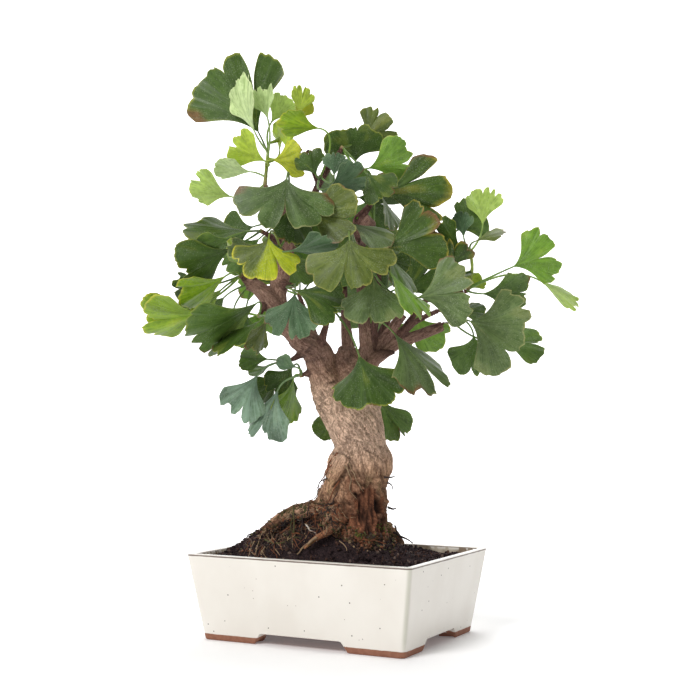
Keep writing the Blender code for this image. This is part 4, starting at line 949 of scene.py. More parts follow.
class MakePot(bpy.types.Operator):
    """Make the glazed pot with its rim, feet and drain holes"""
    bl_idname = "bonsai.pot"
    bl_label = "Pot"

    def execute(self, context):
        """One profile carried round the rectangle.

        It runs from the middle of the floor up the inner wall, over the rounded rim, down
        the tapered outer wall to the lower edge, whose height follows the feet, and back
        under the pot to the middle. Each ring is its points and its finish.
        """
        own = context.scene.bonsai_pot
        floor = FOOT_HEIGHT + POT_FLOOR
        lip, half = POT_HEIGHT - RIM_ROUND, POT_WALL / 2
        rings = [self.level_ring(own, floor, inward) for inward in (60.0, 30.0, 9.0)]
        rings += [self.level_ring(own, height, POT_WALL, stained=True)
                  for height in np.linspace(floor + 1, lip, INNER_STEPS)]
        rings += [self.level_ring(own, lip + RIM_ROUND * math.sin(angle),
                                  half + half * math.cos(angle), line=index in RIM_LINES)
                  for index, angle in enumerate(np.linspace(0, math.pi, RIM_STEPS))]
        rings += [self.level_ring(own, height, 0)
                  for height in np.linspace(lip - 1.0, EDGE_TOP, OUTER_STEPS)]
        rings += [self.lower_ring(own, height, 0.0) for height in EDGE_HEIGHTS]
        rings += [self.lower_ring(own, height, inward) for height, inward in (
            (0.0, 0.7), (0.0, FOOT_DEPTH - 0.5), (0.5, FOOT_DEPTH))]
        rings += [self.under_ring(own, inward) for inward in (FOOT_DEPTH, 30.0)]
        count = len(rings[0][0])
        top = (np.tile((0.0, 0.0, floor), (count, 1)), np.zeros((count, 3)))
        under = (np.tile((0.0, 0.0, FOOT_HEIGHT), (count, 1)), self.bare_finish(count))
        points, finish = zip(top, *rings, under)
        piece = new_piece("glazed_pot", np.vstack(points) + POT_CENTRE,
                          grid_quads(len(points), count, wrap=True),
                          {"finish": np.vstack(finish)}, "cream glaze", sharp=38,
                          replaces=("pot",))
        self.drain(piece)
        return {"FINISHED"}

    @staticmethod
    def plan(own, height, inward):
        """The pot's rectangle at a height, moved inwards, and how far it is inset in all."""
        inset = POT_TAPER * (1 - height / POT_HEIGHT) + inward
        corner = max(in_mm(own.corner) - CORNER_SHRINK * inward, SHARPEST_CORNER)
        return rectangle_ring(POT_LENGTH - 2 * inset, POT_WIDTH - 2 * inset, corner,
                              own.steps), inset

    @staticmethod
    def bareness(level):
        """How bare the clay is at a level: 1 below the glaze's edge and 0 above it."""
        return np.clip(0.5 + (BARE_CLAY - level) / BARE_BLUR, 0, 1)

    @staticmethod
    def bare_finish(count):
        """The finish of clay with no glaze at all."""
        return np.tile((1.0, 0.0, 0.0), (count, 1))

    @staticmethod
    def stripe(flat):
        """1 at the front corner, falling off as a bell with the distance from it."""
        far = np.hypot(flat[:, 0] - flat[:, 0].max(), flat[:, 1] - flat[:, 1].min())
        return np.exp(-(far / STRIPE_WIDTH) ** 2)

    @staticmethod
    def level_ring(own, height, inward, line=False, stained=False):
        """A ring of the floor, the rim or the walls, all at one height."""
        flat, _ = MakePot.plan(own, height, inward)
        level = np.full(len(flat), float(height))
        near = np.full(len(flat), STAINED) if stained else MakePot.stripe(flat)
        lines = np.full(len(flat), float(line))
        return (np.column_stack((flat, level)),
                np.column_stack((MakePot.bareness(level), lines, near)))

    @staticmethod
    def lower_ring(own, height, inward):
        """A ring of the lower wall: the height above the edge, squeezed where feet end."""
        flat, inset = MakePot.plan(own, height, inward)
        edge = foot_profile(flat[:, 0], flat[:, 1], inset)
        level = edge + height * (EDGE_TOP - edge) / EDGE_TOP
        outward = POT_TAPER * level / POT_HEIGHT - POT_TAPER * height / POT_HEIGHT
        flat = flat * (1 + outward[:, None] / np.array((POT_LENGTH / 2, POT_WIDTH / 2)))
        bare = np.where(edge > FOOT_HEIGHT - 0.1, BARE_IN_GAP if inward < 0.5 else 1.0,
                        MakePot.bareness(level))
        return (np.column_stack((flat, level)),
                np.column_stack((bare, np.zeros(len(flat)), MakePot.stripe(flat))))

    @staticmethod
    def under_ring(own, inward):
        """A ring of the pot's underside, between the feet."""
        flat, _ = MakePot.plan(own, 0.0, inward)
        return (np.column_stack((flat, np.full(len(flat), FOOT_HEIGHT))),
                MakePot.bare_finish(len(flat)))

    @staticmethod
    def drain(piece):
        """Two round drain holes, cut through the floor."""
        cutters = []
        for across in (-DRAIN_OFFSET, DRAIN_OFFSET):
            path = POT_CENTRE + np.array(((across, 0, -4.0), (across, 0, 30.0)))
            cutters.append((*tube(path, (DRAIN_RADIUS, DRAIN_RADIUS), 32), {}))
        points, quads, _ = joined(cutters)
        mesh = new_mesh("drain", points, quads)
        turn_outwards(mesh)
        cutter = new_object("drain", mesh)
        cut = piece.modifiers.new("drain", "BOOLEAN")
        cut.operation = "DIFFERENCE"
        cut.object = cutter
        apply_modifiers(piece)
        bpy.data.objects.remove(cutter)


def apply_modifiers(piece):
    """Replace a piece's mesh by its evaluated mesh."""
    bpy.context.view_layer.update()
    graph = bpy.context.evaluated_depsgraph_get()
    mesh = bpy.data.meshes.new_from_object(piece.evaluated_get(graph))
    piece.modifiers.clear()
    piece.data = mesh


def soil_height(x, y):
    """The soil's surface: level near the walls, with a mound under the trunk."""
    far = np.hypot(x - MOUND_CENTRE[0], (y - MOUND_CENTRE[1]) * 1.12)
    mound = MOUND_HEIGHT * np.exp(-(far / MOUND_SPREAD) ** 3)
    rough = np.sin(0.21 * x + 1.3) * np.cos(0.17 * y) + 0.6 * np.sin(0.43 * x - 0.31 * y)
    return SOIL_EDGE + TOP_UP + mound + 0.9 * rough


def clods(x, y):
    """Clods on the soil: noise at several sizes, higher on the mound."""
    spot = np.stack((x, y, 0 * x), -1)
    return 1.5 * fractal(spot / 9.0, 2, 3) + 1.1 * np.abs(fractal(spot / 3.1, 3, 9)) - 0.6


class MakeSoil(bpy.types.Operator):
    """Make the mound of soil with its clods and loose crumbs"""
    bl_idname = "bonsai.soil"
    bl_label = "Soil"

    def execute(self, context):
        """Rings shrink from the pot's wall to the mound's centre; their height is the
        mound's formula plus clods, and falls to the wall's level at the edge."""
        own = context.scene.bonsai_soil
        floor = FOOT_HEIGHT + POT_FLOOR
        edge, base = self.inside_wall(SOIL_EDGE), self.inside_wall(floor + 0.5)
        count, bottom = len(edge), floor + SOIL_GAP
        share = np.linspace(1, 0, SOIL_RINGS)[:, None, None]
        centre = np.array(MOUND_CENTRE)
        flat = centre + (edge[None] - centre) * share
        x, y = flat[..., 0], flat[..., 1]
        fade = smoothstep(1.0, 0.97, share[..., 0])
        height = soil_height(x, y) * fade + SOIL_EDGE * (1 - fade) + clods(x, y) * fade
        points = np.vstack((np.tile((*MOUND_CENTRE, bottom), (count, 1)),
                            np.column_stack((base, np.full(count, bottom))),
                            np.dstack((x, y, height)).reshape(-1, 3)))
        tint = np.array(own.earth) * (1 + 0.35 * noise(points / 11.0, 5)[:, None])
        new_piece("potting_soil", points + POT_CENTRE,
                  grid_quads(SOIL_RINGS + 2, count, wrap=True), {"tint": tint},
                  "crumbly soil", replaces=("soil",))
        self.crumbs(own.crumbs)
        return {"FINISHED"}

    @staticmethod
    def inside_wall(height):
        """The rectangle that lies just inside the pot's wall at a height."""
        inset = POT_TAPER * (1 - height / POT_HEIGHT) + POT_WALL + SOIL_GAP
        return rectangle_ring(POT_LENGTH - 2 * inset, POT_WIDTH - 2 * inset, SOIL_CORNER,
                              SOIL_STEPS)

    @staticmethod
    def crumbs(number):
        """Crumbs are balls of 5 rings of 6 points, dented by noise and pressed into the
        soil: each is one ball times its size, its dents and its stretch along each axis."""
        draw = np.random.default_rng(SEED)
        wall = POT_WALL + 3.0
        half = np.array((POT_LENGTH / 2 - wall - 2, POT_WIDTH / 2 - wall - 2))
        spots = draw.uniform(-1, 1, (number, 2)) * half
        size = 0.5 + 1.5 * draw.random(number) ** 3
        level = soil_height(spots[:, 0], spots[:, 1]) + clods(spots[:, 0], spots[:, 1])
        polar, turn = np.meshgrid(np.linspace(0, math.pi, 5),
                                  np.linspace(0, 2 * math.pi, 6, endpoint=False), indexing="ij")
        ball = np.stack((np.sin(polar) * np.cos(turn), np.sin(polar) * np.sin(turn),
                         np.cos(polar)), -1).reshape(-1, 3)
        points = ball[None] * size[:, None, None]
        points *= (1 + 0.55 * noise(ball[None] * 1.9 + spots[:, None, :1] * 0.37, 4))[..., None]
        points *= draw.uniform(0.55, 1.35, (number, 1, 3))
        points += np.column_stack((spots, level + size * 0.25))[:, None]
        quads = grid_quads(5, 6, wrap=True)[None] + len(ball) * np.arange(number)[:, None, None]
        shade = draw.choice(3, number, p=(0.72, 0.2, 0.08))
        colours = linear(((43, 33, 36), (70, 52, 47), (106, 92, 86)))[shade]
        tint = np.repeat(colours, len(ball), axis=0)
        new_piece("soil_crumbs", points.reshape(-1, 3) + POT_CENTRE, quads.reshape(-1, 4),
                  {"tint": tint}, "crumbly soil")


def limb_runs():
    """Every limb and twig as (points in the model in mm, radii)."""
    given = (*LIMBS.values(), *(twig for twig, _ in TWIGS.values()))
    smooth = [smooth_path([(*to_pot(place(*spot[:3])), spot[3]) for spot in spots], 8)
              for spots in given]
    return [(run[:, :3], run[:, 3]) for run in smooth]


class MakeWood(bpy.types.Operator):
    """Make the trunk, limbs, twigs and surface roots with their bark"""
    bl_idname = "bonsai.wood"
    bl_label = "Wood"

    def execute(self, context):
        """Round profiles along every limb are joined by a voxel remesh. Each point then
        finds its nearest limb, whose length and turn give the bark's grain, and moves
        along its normal by the bark's height."""
        own = context.scene.bonsai_bark
        runs = limb_runs()
        mesh = self.remeshed(runs, in_mm(own.voxel))
        points, normals = from_vertices(mesh) / MM, from_vertices(mesh, "normal")
        grain, radius = self.grain(points, runs)
        grain = self.twisted(grain)
        drawn = to_drawing(points)
        height, cracked = self.height(drawn, grain, radius)
        tint = self.tint(drawn, grain, radius, cracked, np.array(own.bark))
        points = points + normals * (height * in_mm(own.relief))[:, None]
        mesh.vertices.foreach_set("co", (points * MM).astype(np.float32).ravel())
        set_values(mesh, {"grain": grain, "tint": tint})
        finish_piece("trunk_and_branches", mesh, "fissured bark", replaces=("wood",))
        return {"FINISHED"}

    @staticmethod
    def remeshed(runs, voxel):
        """All limbs as round profiles, made one by a voxel grid of that size in mm."""
        parts = [(*tube(path, radii, 24 if radii.max() > 6 else 12), {}) for path, radii in runs]
        points, quads, _ = joined(parts)
        mesh = new_mesh("limbs", points, quads)
        turn_outwards(mesh)
        thing = new_object("limbs", mesh)
        grid = thing.modifiers.new("remesh", "REMESH")
        grid.mode = "VOXEL"
        grid.voxel_size = voxel * MM
        even = thing.modifiers.new("smooth", "SMOOTH")
        even.factor = 0.5
        even.iterations = 2
        apply_modifiers(thing)
        mesh = thing.data
        bpy.data.objects.remove(thing)
        return mesh

    @staticmethod
    def grain(points, runs):
        """Turn round and length along the nearest limb, as a vector without a seam."""
        starts, ends, radii, lengths, sides = [], [], [], [], []
        for path, radius in runs:
            step = np.linalg.norm(np.diff(path, axis=0), axis=1)
            starts.append(path[:-1])
            ends.append(path[1:])
            radii.append((radius[:-1] + radius[1:]) / 2)
            lengths.append(np.concatenate(((0,), np.cumsum(step)[:-1])) + path[0, 0] * 3)
            main = unit(path[-1] - path[0])
            side = unit(np.cross(main, (0.2, 0.9, 0.3)))
            sides.append(np.repeat(side[None], len(step), axis=0))
        starts, ends, sides = np.vstack(starts), np.vstack(ends), np.vstack(sides)
        radii, lengths = np.concatenate(radii), np.concatenate(lengths)
        span = ends - starts
        size = np.maximum((span ** 2).sum(1), 1e-9)
        made = np.empty((len(points), 3))
        around = np.empty(len(points))
        for begin in range(0, len(points), BATCH):
            some = points[begin:begin + BATCH]
            offset = some[:, None] - starts[None]
            share = np.clip((offset * span).sum(2) / size, 0, 1)
            away = offset - share[..., None] * span
            distance = np.sqrt((away ** 2).sum(2)) - radii
            best = distance.argmin(1)
            row = np.arange(len(some))
            spoke = unit(away[row, best])
            along = unit(span[best])
            side = unit(sides[best] - along * (sides[best] * along).sum(1)[:, None])
            other = np.cross(along, side)
            radius = radii[best]
            made[begin:begin + BATCH] = np.column_stack((
                (spoke * side).sum(1) * radius, (spoke * other).sum(1) * radius,
                lengths[best] + share[row, best] * np.sqrt(size[best])))
            around[begin:begin + BATCH] = radius
        return made, around

    @staticmethod
    def cracks(points, scale, width, seed):
        """Narrow lines where smooth noise passes through zero, from 0 to 1."""
        return np.exp(-(noise(points / np.array(scale), seed) / width) ** 2)

    @staticmethod
    def hollow(drawn):
        """Shares of the rotten hollow, of its upright fibres and of its pits."""
        across, depth, up = drawn[:, 0], drawn[:, 1], drawn[:, 2]
        ragged = 0.30 * noise(drawn / 5.0, 52) + 0.14 * noise(drawn / 2.2, 53)
        far = np.hypot((across - 22) / 17, (up - 99) / 23) + 1.5 * ragged
        inside = smoothstep(1.02, 0.80, far) * smoothstep(6, -6, depth)
        fibres = 0.6 * noise(drawn / np.array((2.2, 4.0, 15.0)), 54)
        fibres += 0.4 * noise(drawn / np.array((1.3, 4.0, 8.0)), 55)
        pits = smoothstep(0.25, 0.6, noise(drawn / np.array((3.4, 6.0, 11.0)), 58)) * 0.7
        lean = across - 33 + 0.12 * (up - 108) + 5 * ragged
        slot = smoothstep(1.2, 0.4, np.hypot(lean / 3.0, (up - 108) / 11))
        pits = np.maximum(pits, slot)
        return inside, fibres, pits * inside

    @staticmethod
    def height(drawn, grain, radius):
        """The bark's height: diagonal cracks on the trunk, cross wrinkles on the neck,
        lengthwise ridges on the limbs, scars on the twigs and rough, rooty lumps below."""
        up = drawn[:, 2]
        thick = smoothstep(2.0, 12.0, radius)
        low = smoothstep(150, 122, up)
        neck = smoothstep(176, 190, up) * smoothstep(250, 232, up) * thick
        bark = thick * (1 - 0.6 * neck)
        height = 1.1 * fractal(drawn / 15.0, 2, 31) * thick
        cracked = 0.85 * MakeWood.cracks(grain, (4.6, 4.6, 17.0), 0.14, 21) * bark
        cracked += 0.5 * MakeWood.cracks(grain, (2.8, 2.8, 10.0), 0.16, 22) * bark
        cracked += 0.8 * MakeWood.cracks(grain, (15.0, 15.0, 4.2), 0.18, 41) * neck
        cracked += 0.5 * MakeWood.cracks(grain, (9.0, 9.0, 2.6), 0.18, 42) * neck
        cracked += 1.3 * MakeWood.cracks(drawn, (6.0, 6.0, 9.0), 0.13, 62) * low * thick
        cracked += MakeWood.creases(drawn)
        height += 1.9 * fractal(grain / np.array((7.0, 7.0, 13.0)), 3, 61) * low * thick
        thin = smoothstep(6.5, 3.5, radius) * smoothstep(190, 220, up)
        height += 0.22 * np.cos(grain[:, 2] * 2.6 + noise(drawn / 6.0, 63)) * thin
        inside, fibres, pits = MakeWood.hollow(drawn)
        edge = 4 * inside * (1 - inside)
        height = height * (1 - 0.7 * inside) + inside * (-2.8 + 2.8 * fibres)
        cracked = cracked * (1 - inside)
        return height - cracked - 3.6 * pits + 1.1 * edge, cracked

    @staticmethod
    def twisted(grain):
        """The grain turned round each limb in step with its length, so cracks run askew."""
        turn = grain[:, 2] * GRAIN_TWIST
        return np.column_stack((grain[:, 0] * np.cos(turn) - grain[:, 1] * np.sin(turn),
                                grain[:, 0] * np.sin(turn) + grain[:, 1] * np.cos(turn),
                                grain[:, 2]))

    @staticmethod
    def creases(drawn):
        """Depth of the drawn creases: a bell across the distance to each line in front."""
        flat, depth = drawn[:, (0, 2)], drawn[:, 1]
        made = np.zeros(len(drawn))
        for deep, width, line in CREASES:
            line = np.array(line, float)
            for first, second in zip(line[:-1], line[1:]):
                span = second - first
                share = np.clip((flat - first) @ span / (span @ span), 0, 1)
                away = np.linalg.norm(flat - first - share[:, None] * span, axis=1)
                away = away + 0.5 * noise(drawn / 3.0, 91)
                made = np.maximum(made, deep * np.exp(-(away / width) ** 2))
        return made * smoothstep(4.0, -4.0, depth)

    @staticmethod
    def tint(drawn, grain, radius, cracked, bark):
        """Bark colour by place: pale trunk, mauve limbs, tan and orange roots, a rotten
        red-brown hollow, stained earth at the foot, and painted shade: near black in the
        hollow's pits and darker in the cracks and creases, where the bark is low."""
        across, depth, up = drawn[:, 0], drawn[:, 1], drawn[:, 2]
        count = (len(up), 1)
        colour = np.tile(bark, count)
        colour = laid(colour, (222, 192, 168), smoothstep(128, 160, up)
                       * smoothstep(225, 196, up))
        colour = laid(colour, (166, 134, 122), smoothstep(192, 235, up) * 0.9)
        colour = laid(colour, (112, 84, 76), smoothstep(6.5, 3.2, radius)
                       * smoothstep(190, 225, up))
        patches = fractal(drawn / 10.0, 3, 71)
        colour = colour * (1 + 0.12 * patches + 0.08 * noise(drawn / 2.6, 72))[:, None]
        colour = laid(colour, (112, 82, 64), smoothstep(0.25, 0.9, -patches)
                       * smoothstep(150, 122, up) * 0.55)
        rooty = smoothstep(126, 104, up)
        streaks = noise(grain / np.array((2.6, 2.6, 11.0)), 73)
        colour = laid(colour, (104, 74, 54), rooty * smoothstep(-0.3, 0.5, streaks)
                       * 0.75)
        pale = smoothstep(8, 3, np.abs(up - 103 + 0.55 * np.maximum(-across - 34, 0)))
        pale *= smoothstep(0, -10, across) * smoothstep(-50, -38, across)
        pale *= smoothstep(2, -8, depth) * smoothstep(-0.5, 0.2, patches + 0.4)
        colour = laid(colour, (214, 174, 146), pale * 0.85)
        colour = laid(colour, (174, 120, 88), smoothstep(5.4, 4.2, radius)
                       * smoothstep(100, 88, up) * smoothstep(-2, -14, across) * 0.9)
        earth = smoothstep(92, 78, up + 5 * patches) * smoothstep(4.4, 5.4, radius)
        colour = laid(colour, (66, 48, 38), earth * 0.85)
        rusty = smoothstep(34, 14, np.hypot(across - 18, (up - 104) * 0.8) + 9 * patches)
        colour = laid(colour, (128, 82, 58), rusty * 0.6)
        inside, fibres, pits = MakeWood.hollow(drawn)
        rot = blend(np.tile(linear((74, 46, 34)), count), linear((156, 104, 76)),
                    smoothstep(-0.35, 0.5, fibres))
        colour = blend(colour, rot, inside * 0.95)
        # painted shade: the hollow's pits are coloured near black, as deep holes in shade
        colour = laid(colour, (34, 22, 18), np.clip(pits * 1.2, 0, 0.94))
        # painted shade: the bark is darker where cracks and creases cut it lower
        colour = colour * (1 - 0.50 * smoothstep(0.2, 1.5, cracked))[:, None]
        slope = smoothstep(-26, -44, across) * smoothstep(6, -4, up - 112 - across * 0.25)
        colour = laid(colour, (74, 54, 44),
                       slope * (1 - pale) * smoothstep(-0.4, 0.3, noise(drawn / 4.0, 93)) * 0.75)
        green = smoothstep(0.3, 0.8, fractal(drawn / 8.0, 2, 81)) * smoothstep(146, 112, up)
        colour = laid(colour, (108, 112, 62), green * 0.4 * (1 - inside))
        return np.clip(colour, 0.004, 1)


def blade_frame(aim, pitch, roll):
    """Side, mid-line and normal of a blade, in the drawing's axes (right, away, up)."""
    aim, pitch, roll = (math.radians(angle) for angle in (aim, pitch, roll))
    viewer = np.array((0.0, -1.0, 0.0))
    middle = np.array((math.cos(aim), 0.0, math.sin(aim)))
    side = np.array((math.sin(aim), 0.0, -math.cos(aim)))
    middle, normal = (middle * math.cos(pitch) + viewer * math.sin(pitch),
                      viewer * math.cos(pitch) - middle * math.sin(pitch))
    side, normal = (side * math.cos(roll) + normal * math.sin(roll),
                    normal * math.cos(roll) - side * math.sin(roll))
    return side, middle, normal


def margin(u, notches, shoulder=SHOULDER):
    """The fan's outer edge as a share of its length: round shoulders, cut by notches."""
    edge = 1 - (1 - shoulder) * np.abs(u) ** 5
    for where, depth in notches:
        near = np.clip(np.abs(u - where) / NOTCH_WIDTH, 0, 1)
        edge = edge * (1 - depth * (1 - np.sqrt(near)))
    return edge


def blade_place(u, v, leaf, edge, start=FLARE):
    """Places on the middle of the blade: a fan, cupped across and drooped along."""
    length, spread, droop, cup = leaf["length"], leaf["spread"], leaf["droop"], leaf["cup"]
    flare = start + (1 - start) * v * v * (3 - 2 * v)
    reach = length * edge * v
    angle = math.radians(spread) * u * flare
    across, along = reach * np.sin(angle), reach * np.cos(angle)
    bend = math.radians(cup) / length
    sag = math.radians(droop) / length
    x = np.sin(bend * across) / bend
    fold = -(1 - np.cos(bend * across)) / bend
    y = np.sin(sag * along) / sag + fold * np.sin(sag * along)
    z = -(1 - np.cos(sag * along)) / sag + fold * np.cos(sag * along)
    return x, y, z


def blade_points(u, v, leaf, edge, lift=0.0):
    """The blade's middle surface in the drawing's axes, and its unit normals."""
    side, middle, normal = blade_frame(leaf["aim"], leaf["pitch"], leaf["roll"])
    base = place(*leaf["base"])
    scale = 1.0 + leaf["base"][2] / -EYE[1]
    x, y, z = blade_place(u, v, leaf, edge, FULL_FLARE)
    z = z + lift
    points = base + scale * (x[..., None] * side + y[..., None] * middle + z[..., None] * normal)
    down = np.gradient(points, axis=0)
    over = np.gradient(points, axis=1)
    return points, unit(np.cross(over, down))


def blade_noise(across, along, number, seed):
    """Noise over a blade, from how far across and along it is and the leaf's number."""
    return noise(np.stack((across, along, 0 * across + number), -1), seed)


def spray_stem(name):
    """The points of a spray's own stem, starting where its twig's end is."""
    twig, more = TWIGS[name]
    start, before = place(*twig[-1][:3]), place(*twig[-2][:3])
    ahead = start + unit(start - before) * STUB
    return [start, ahead] + [place(*point) for point in more]


def on_stem(stem, share):
    """A place on a stem, from 0 at its first free place to 1 just short of its end."""
    lengths = [np.linalg.norm(b - a) for a, b in zip(stem[:-1], stem[1:])]
    reach = STEM_START + share * (sum(lengths) - STEM_SPARE)
    for (a, b), length in zip(zip(stem[:-1], stem[1:]), lengths):
        if reach <= length:
            return a + (b - a) * reach / length
        reach -= length
    return stem[-1]


def leaf_rows():
    """Every leaf as a dictionary: those listed one by one, then those placed by rule."""
    keys = ("aim", "pitch", "roll", "length", "spread", "droop", "cup", "notches", "green",
            "burns")
    for row in LEAVES:
        yield dict(zip(keys, row[5:]), spray=row[0], share=row[1], base=row[2:5])
    draw = random.Random(SEED)
    for name, first, last, count in BACK_SPRAYS:
        hub = TWIGS[name][0][-1]
        for index in range(count):
            aim = first + (last - first) * (index + draw.uniform(0.3, 0.7)) / count
            reach = draw.uniform(*BACK_PETIOLE)
            across = hub[0] + reach * math.cos(math.radians(aim))
            up = hub[1] + reach * math.sin(math.radians(aim)) * 0.8
            yield dict(spray=name, share=draw.uniform(0.3, 0.9),
                       base=(across, up, hub[2] + draw.uniform(2, 14)),
                       aim=aim + draw.uniform(-15, 15), pitch=draw.uniform(-50, -15),
                       roll=draw.uniform(-25, 25), length=draw.uniform(*BACK_LENGTH),
                       spread=draw.uniform(44, 66), droop=8, cup=10,
                       notches=((draw.uniform(-0.2, 0.2), draw.uniform(0.2, 0.5)),),
                       green=BACK_GREENS[index % len(BACK_GREENS)])


def choices(leaf):
    """The leaf as drawn, then moved in depth and tilted a little more each time."""
    tilts = ((0, 0), (-10, 0), (10, 0), (0, 12), (0, -12), (-20, 0), (20, 0), (0, 24), (0, -24))
    shifts = (0, -5, 5, -10, 10, -15, 15, -20, 20, 26, -26, 32)
    tries = [(abs(shift) + abs(a) + abs(b), shift, a, b) for shift in shifts for a, b in tilts]
    for _, shift, pitch, roll in sorted(tries):
        across, up, depth = leaf["base"]
        yield dict(leaf, base=(across, up, depth + shift), pitch=leaf["pitch"] + pitch,
                   roll=leaf["roll"] + roll)


def packed_leaf(leaf, tree):
    """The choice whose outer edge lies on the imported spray, or None if it has none."""
    u = np.array((-1.0, 1.0))
    for trial in choices(leaf):
        side, middle, normal = blade_frame(trial["aim"], trial["pitch"], trial["roll"])
        x, y, z = blade_place(u, np.ones(2), trial, margin(u, trial["notches"]))
        scale = 1.0 + trial["base"][2] / -EYE[1]
        spots = place(*trial["base"]) + scale * (x[:, None] * side + y[:, None] * middle
                                                + z[:, None] * normal)
        away = [tree.find(spot)[2] for spot in to_pot(spots)]
        if max(away) < ON_BLADE:
            return trial
    return None


class MakeSprays(bpy.types.Operator):
    """Make every leafy spray: its stem, petioles and fan-shaped leaves"""
    bl_idname = "bonsai.sprays"
    bl_label = "Sprays"

    def execute(self, context):
        """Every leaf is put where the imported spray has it, and each spray is one piece."""
        own = context.scene.bonsai_foliage
        sprays = {name: [self.stem(name)] for name in TWIGS}
        trees = {}
        for name in TWIGS:
            points = from_vertices(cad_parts["spray_" + name].data) / MM
            trees[name] = KDTree(len(points))
            for index, point in enumerate(points):
                trees[name].insert(point, index)
            trees[name].balance()
        for number, leaf in enumerate(leaf_rows()):
            name = leaf["spray"]
            settled = packed_leaf(leaf, trees[name])
            if settled is None:
                print("no packed leaf", number, name)
                continue
            settled["root"] = on_stem(spray_stem(name), leaf["share"])
            sprays[name] += [self.blade(settled, own, number), self.petiole(settled)]
        for name, parts in sprays.items():
            points, quads, values = joined(parts)
            new_piece("leaves_" + name, to_pot(points), quads, values, "ginkgo leaf",
                      sharp=60, replaces=("spray_" + name,))
        return {"FINISHED"}

    @staticmethod
    def stem(name):
        """The stem tapers along a smooth path, with a swelling at each old leaf scar."""
        stem = spray_stem(name)
        radius = TWIGS[name][0][-1][3]
        run = smooth_path(np.array(stem), 10)
        share = np.linspace(0, 1, len(run))
        if len(stem) > 2:
            radii = radius + (1.2 - radius) * share + 0.15 * np.abs(np.sin(share * 21))
            top = linear((150, 168, 84))
        else:
            radii = radius * (1 - 0.12 * share) + 0.2 * np.abs(np.sin(share * 9))
            top = linear((134, 120, 74))
        points, quads = tube(run, radii, 12)
        rings = np.concatenate(((0,), share, (1,)))
        tint = blend(np.tile(linear((104, 66, 52)), (len(rings), 1)), top,
                     smoothstep(0.1, 0.8, rings))
        tint = np.repeat(tint, 12, axis=0)
        return points, quads, {"tint": tint, "fan": points * 0.05}

    @staticmethod
    def petiole(leaf):
        """A stalk along a quadratic curve that leaves the stem and meets the blade's line."""
        _, middle, _ = blade_frame(leaf["aim"], leaf["pitch"], leaf["roll"])
        base, root = place(*leaf["base"]), leaf["root"]
        control = base - middle * np.linalg.norm(base - root) * 0.45
        t = np.linspace(0, 1, 12)[:, None]
        path = root * (1 - t) ** 2 + control * 2 * t * (1 - t) + base * t ** 2
        path = np.vstack((path, base + middle * 1.5))
        radii = np.concatenate((np.linspace(1.0, 0.68, 12), (0.5,)))
        points, quads = tube(path, radii, 8)
        light = laid(linear(GREENS[leaf["green"]][0]), (112, 140, 70), 0.55)
        tint = np.tile(light, (len(points), 1))
        return points, quads, {"tint": tint, "fan": points * 0.05}

    @staticmethod
    def blade(leaf, own, number):
        """Upper and lower faces of the fan, half the thickness to either side.

        The margin is the part's own, with scallops: short waves of noise along the edge.
        The blade ripples towards its margin, and its rays stand up as low ribs.
        """
        u = set(np.linspace(-1, 1, own.columns))
        for where, _ in leaf["notches"]:
            u |= set(where + NOTCH_STEPS) | set(where - NOTCH_STEPS)
        u = np.array(sorted(value for value in u if -1 <= value <= 1))
        v = np.concatenate(((0.012,), np.linspace(0.07, 0.93, own.rows - 3) ** 0.9,
                            (0.962, 0.984, 1.0)))
        u, v = np.meshgrid(u, v)
        seed = number * 13
        spot = np.stack((u * 14, 0 * u, 0 * u + number), -1)
        fine = np.abs(noise(spot, seed)) + 0.6 * np.abs(noise(spot * 2.7, seed + 1))
        broad = blade_noise(u * 3.2, 0 * u, number, seed + 2)
        cuts = np.maximum(blade_noise(u * 7.5, 0 * u, number, seed + 6), 0)
        edge = margin(u, leaf["notches"], FULL_SHOULDER)
        ragged = RAGGED_WHERE_SCORCHED if "burns" in leaf else RAGGED
        edge = edge * (1 - own.scallop * fine + 0.06 * broad - ragged * cuts ** 2)
        size = FULL_SIZE if number < len(LEAVES) else BACK_FULL_SIZE
        leaf = dict(leaf, length=leaf["length"] * size)
        length = leaf["length"]
        ripple = blade_noise(u * 2.6, v * 0.8, number, seed + 3)
        frill = blade_noise(u * 6.5, v * 0.8, number, seed + 5)
        ribs = blade_noise(u * 16, v * 0.6, number, seed + 4)
        lift = length * (0.085 * ripple * v ** 2 + 0.034 * frill * v ** 3 + 0.006 * ribs * v)
        points, normals = blade_points(u, v, leaf, edge, lift)
        base_side = blade_frame(leaf["aim"], leaf["pitch"], leaf["roll"])[0]
        points[0] += (u[0][:, None] * 0.45) * base_side
        half = in_mm(own.thickness) / 2 * (1 - 0.45 * v[..., None] ** 6)
        upper, lower = points + normals * half, points - normals * half
        rows, columns = u.shape
        quads = np.vstack((grid_quads(rows, columns),
                           grid_quads(rows, columns, rows * columns)[:, ::-1]))
        rim = np.concatenate((np.arange(rows) * columns,
                              (rows - 1) * columns + np.arange(1, columns),
                              (np.arange(rows - 1)[::-1] + 1) * columns - 1,
                              np.arange(columns - 1)[::-1][:-1]))
        ahead = np.roll(rim, -1)
        shift = rows * columns
        quads = np.vstack((quads, np.stack((rim, ahead, ahead + shift, rim + shift), -1)))
        tint = MakeSprays.tint(leaf, u, v, number, np.array(own.scorch))
        fan = np.stack((u * leaf["spread"] / 50, v, 0 * u + number * 0.37), -1).reshape(-1, 3)
        values = {"tint": np.vstack(tint), "fan": np.vstack((fan, fan + (0, 0, 5.0)))}
        return np.vstack((upper.reshape(-1, 3), lower.reshape(-1, 3))), quads, values

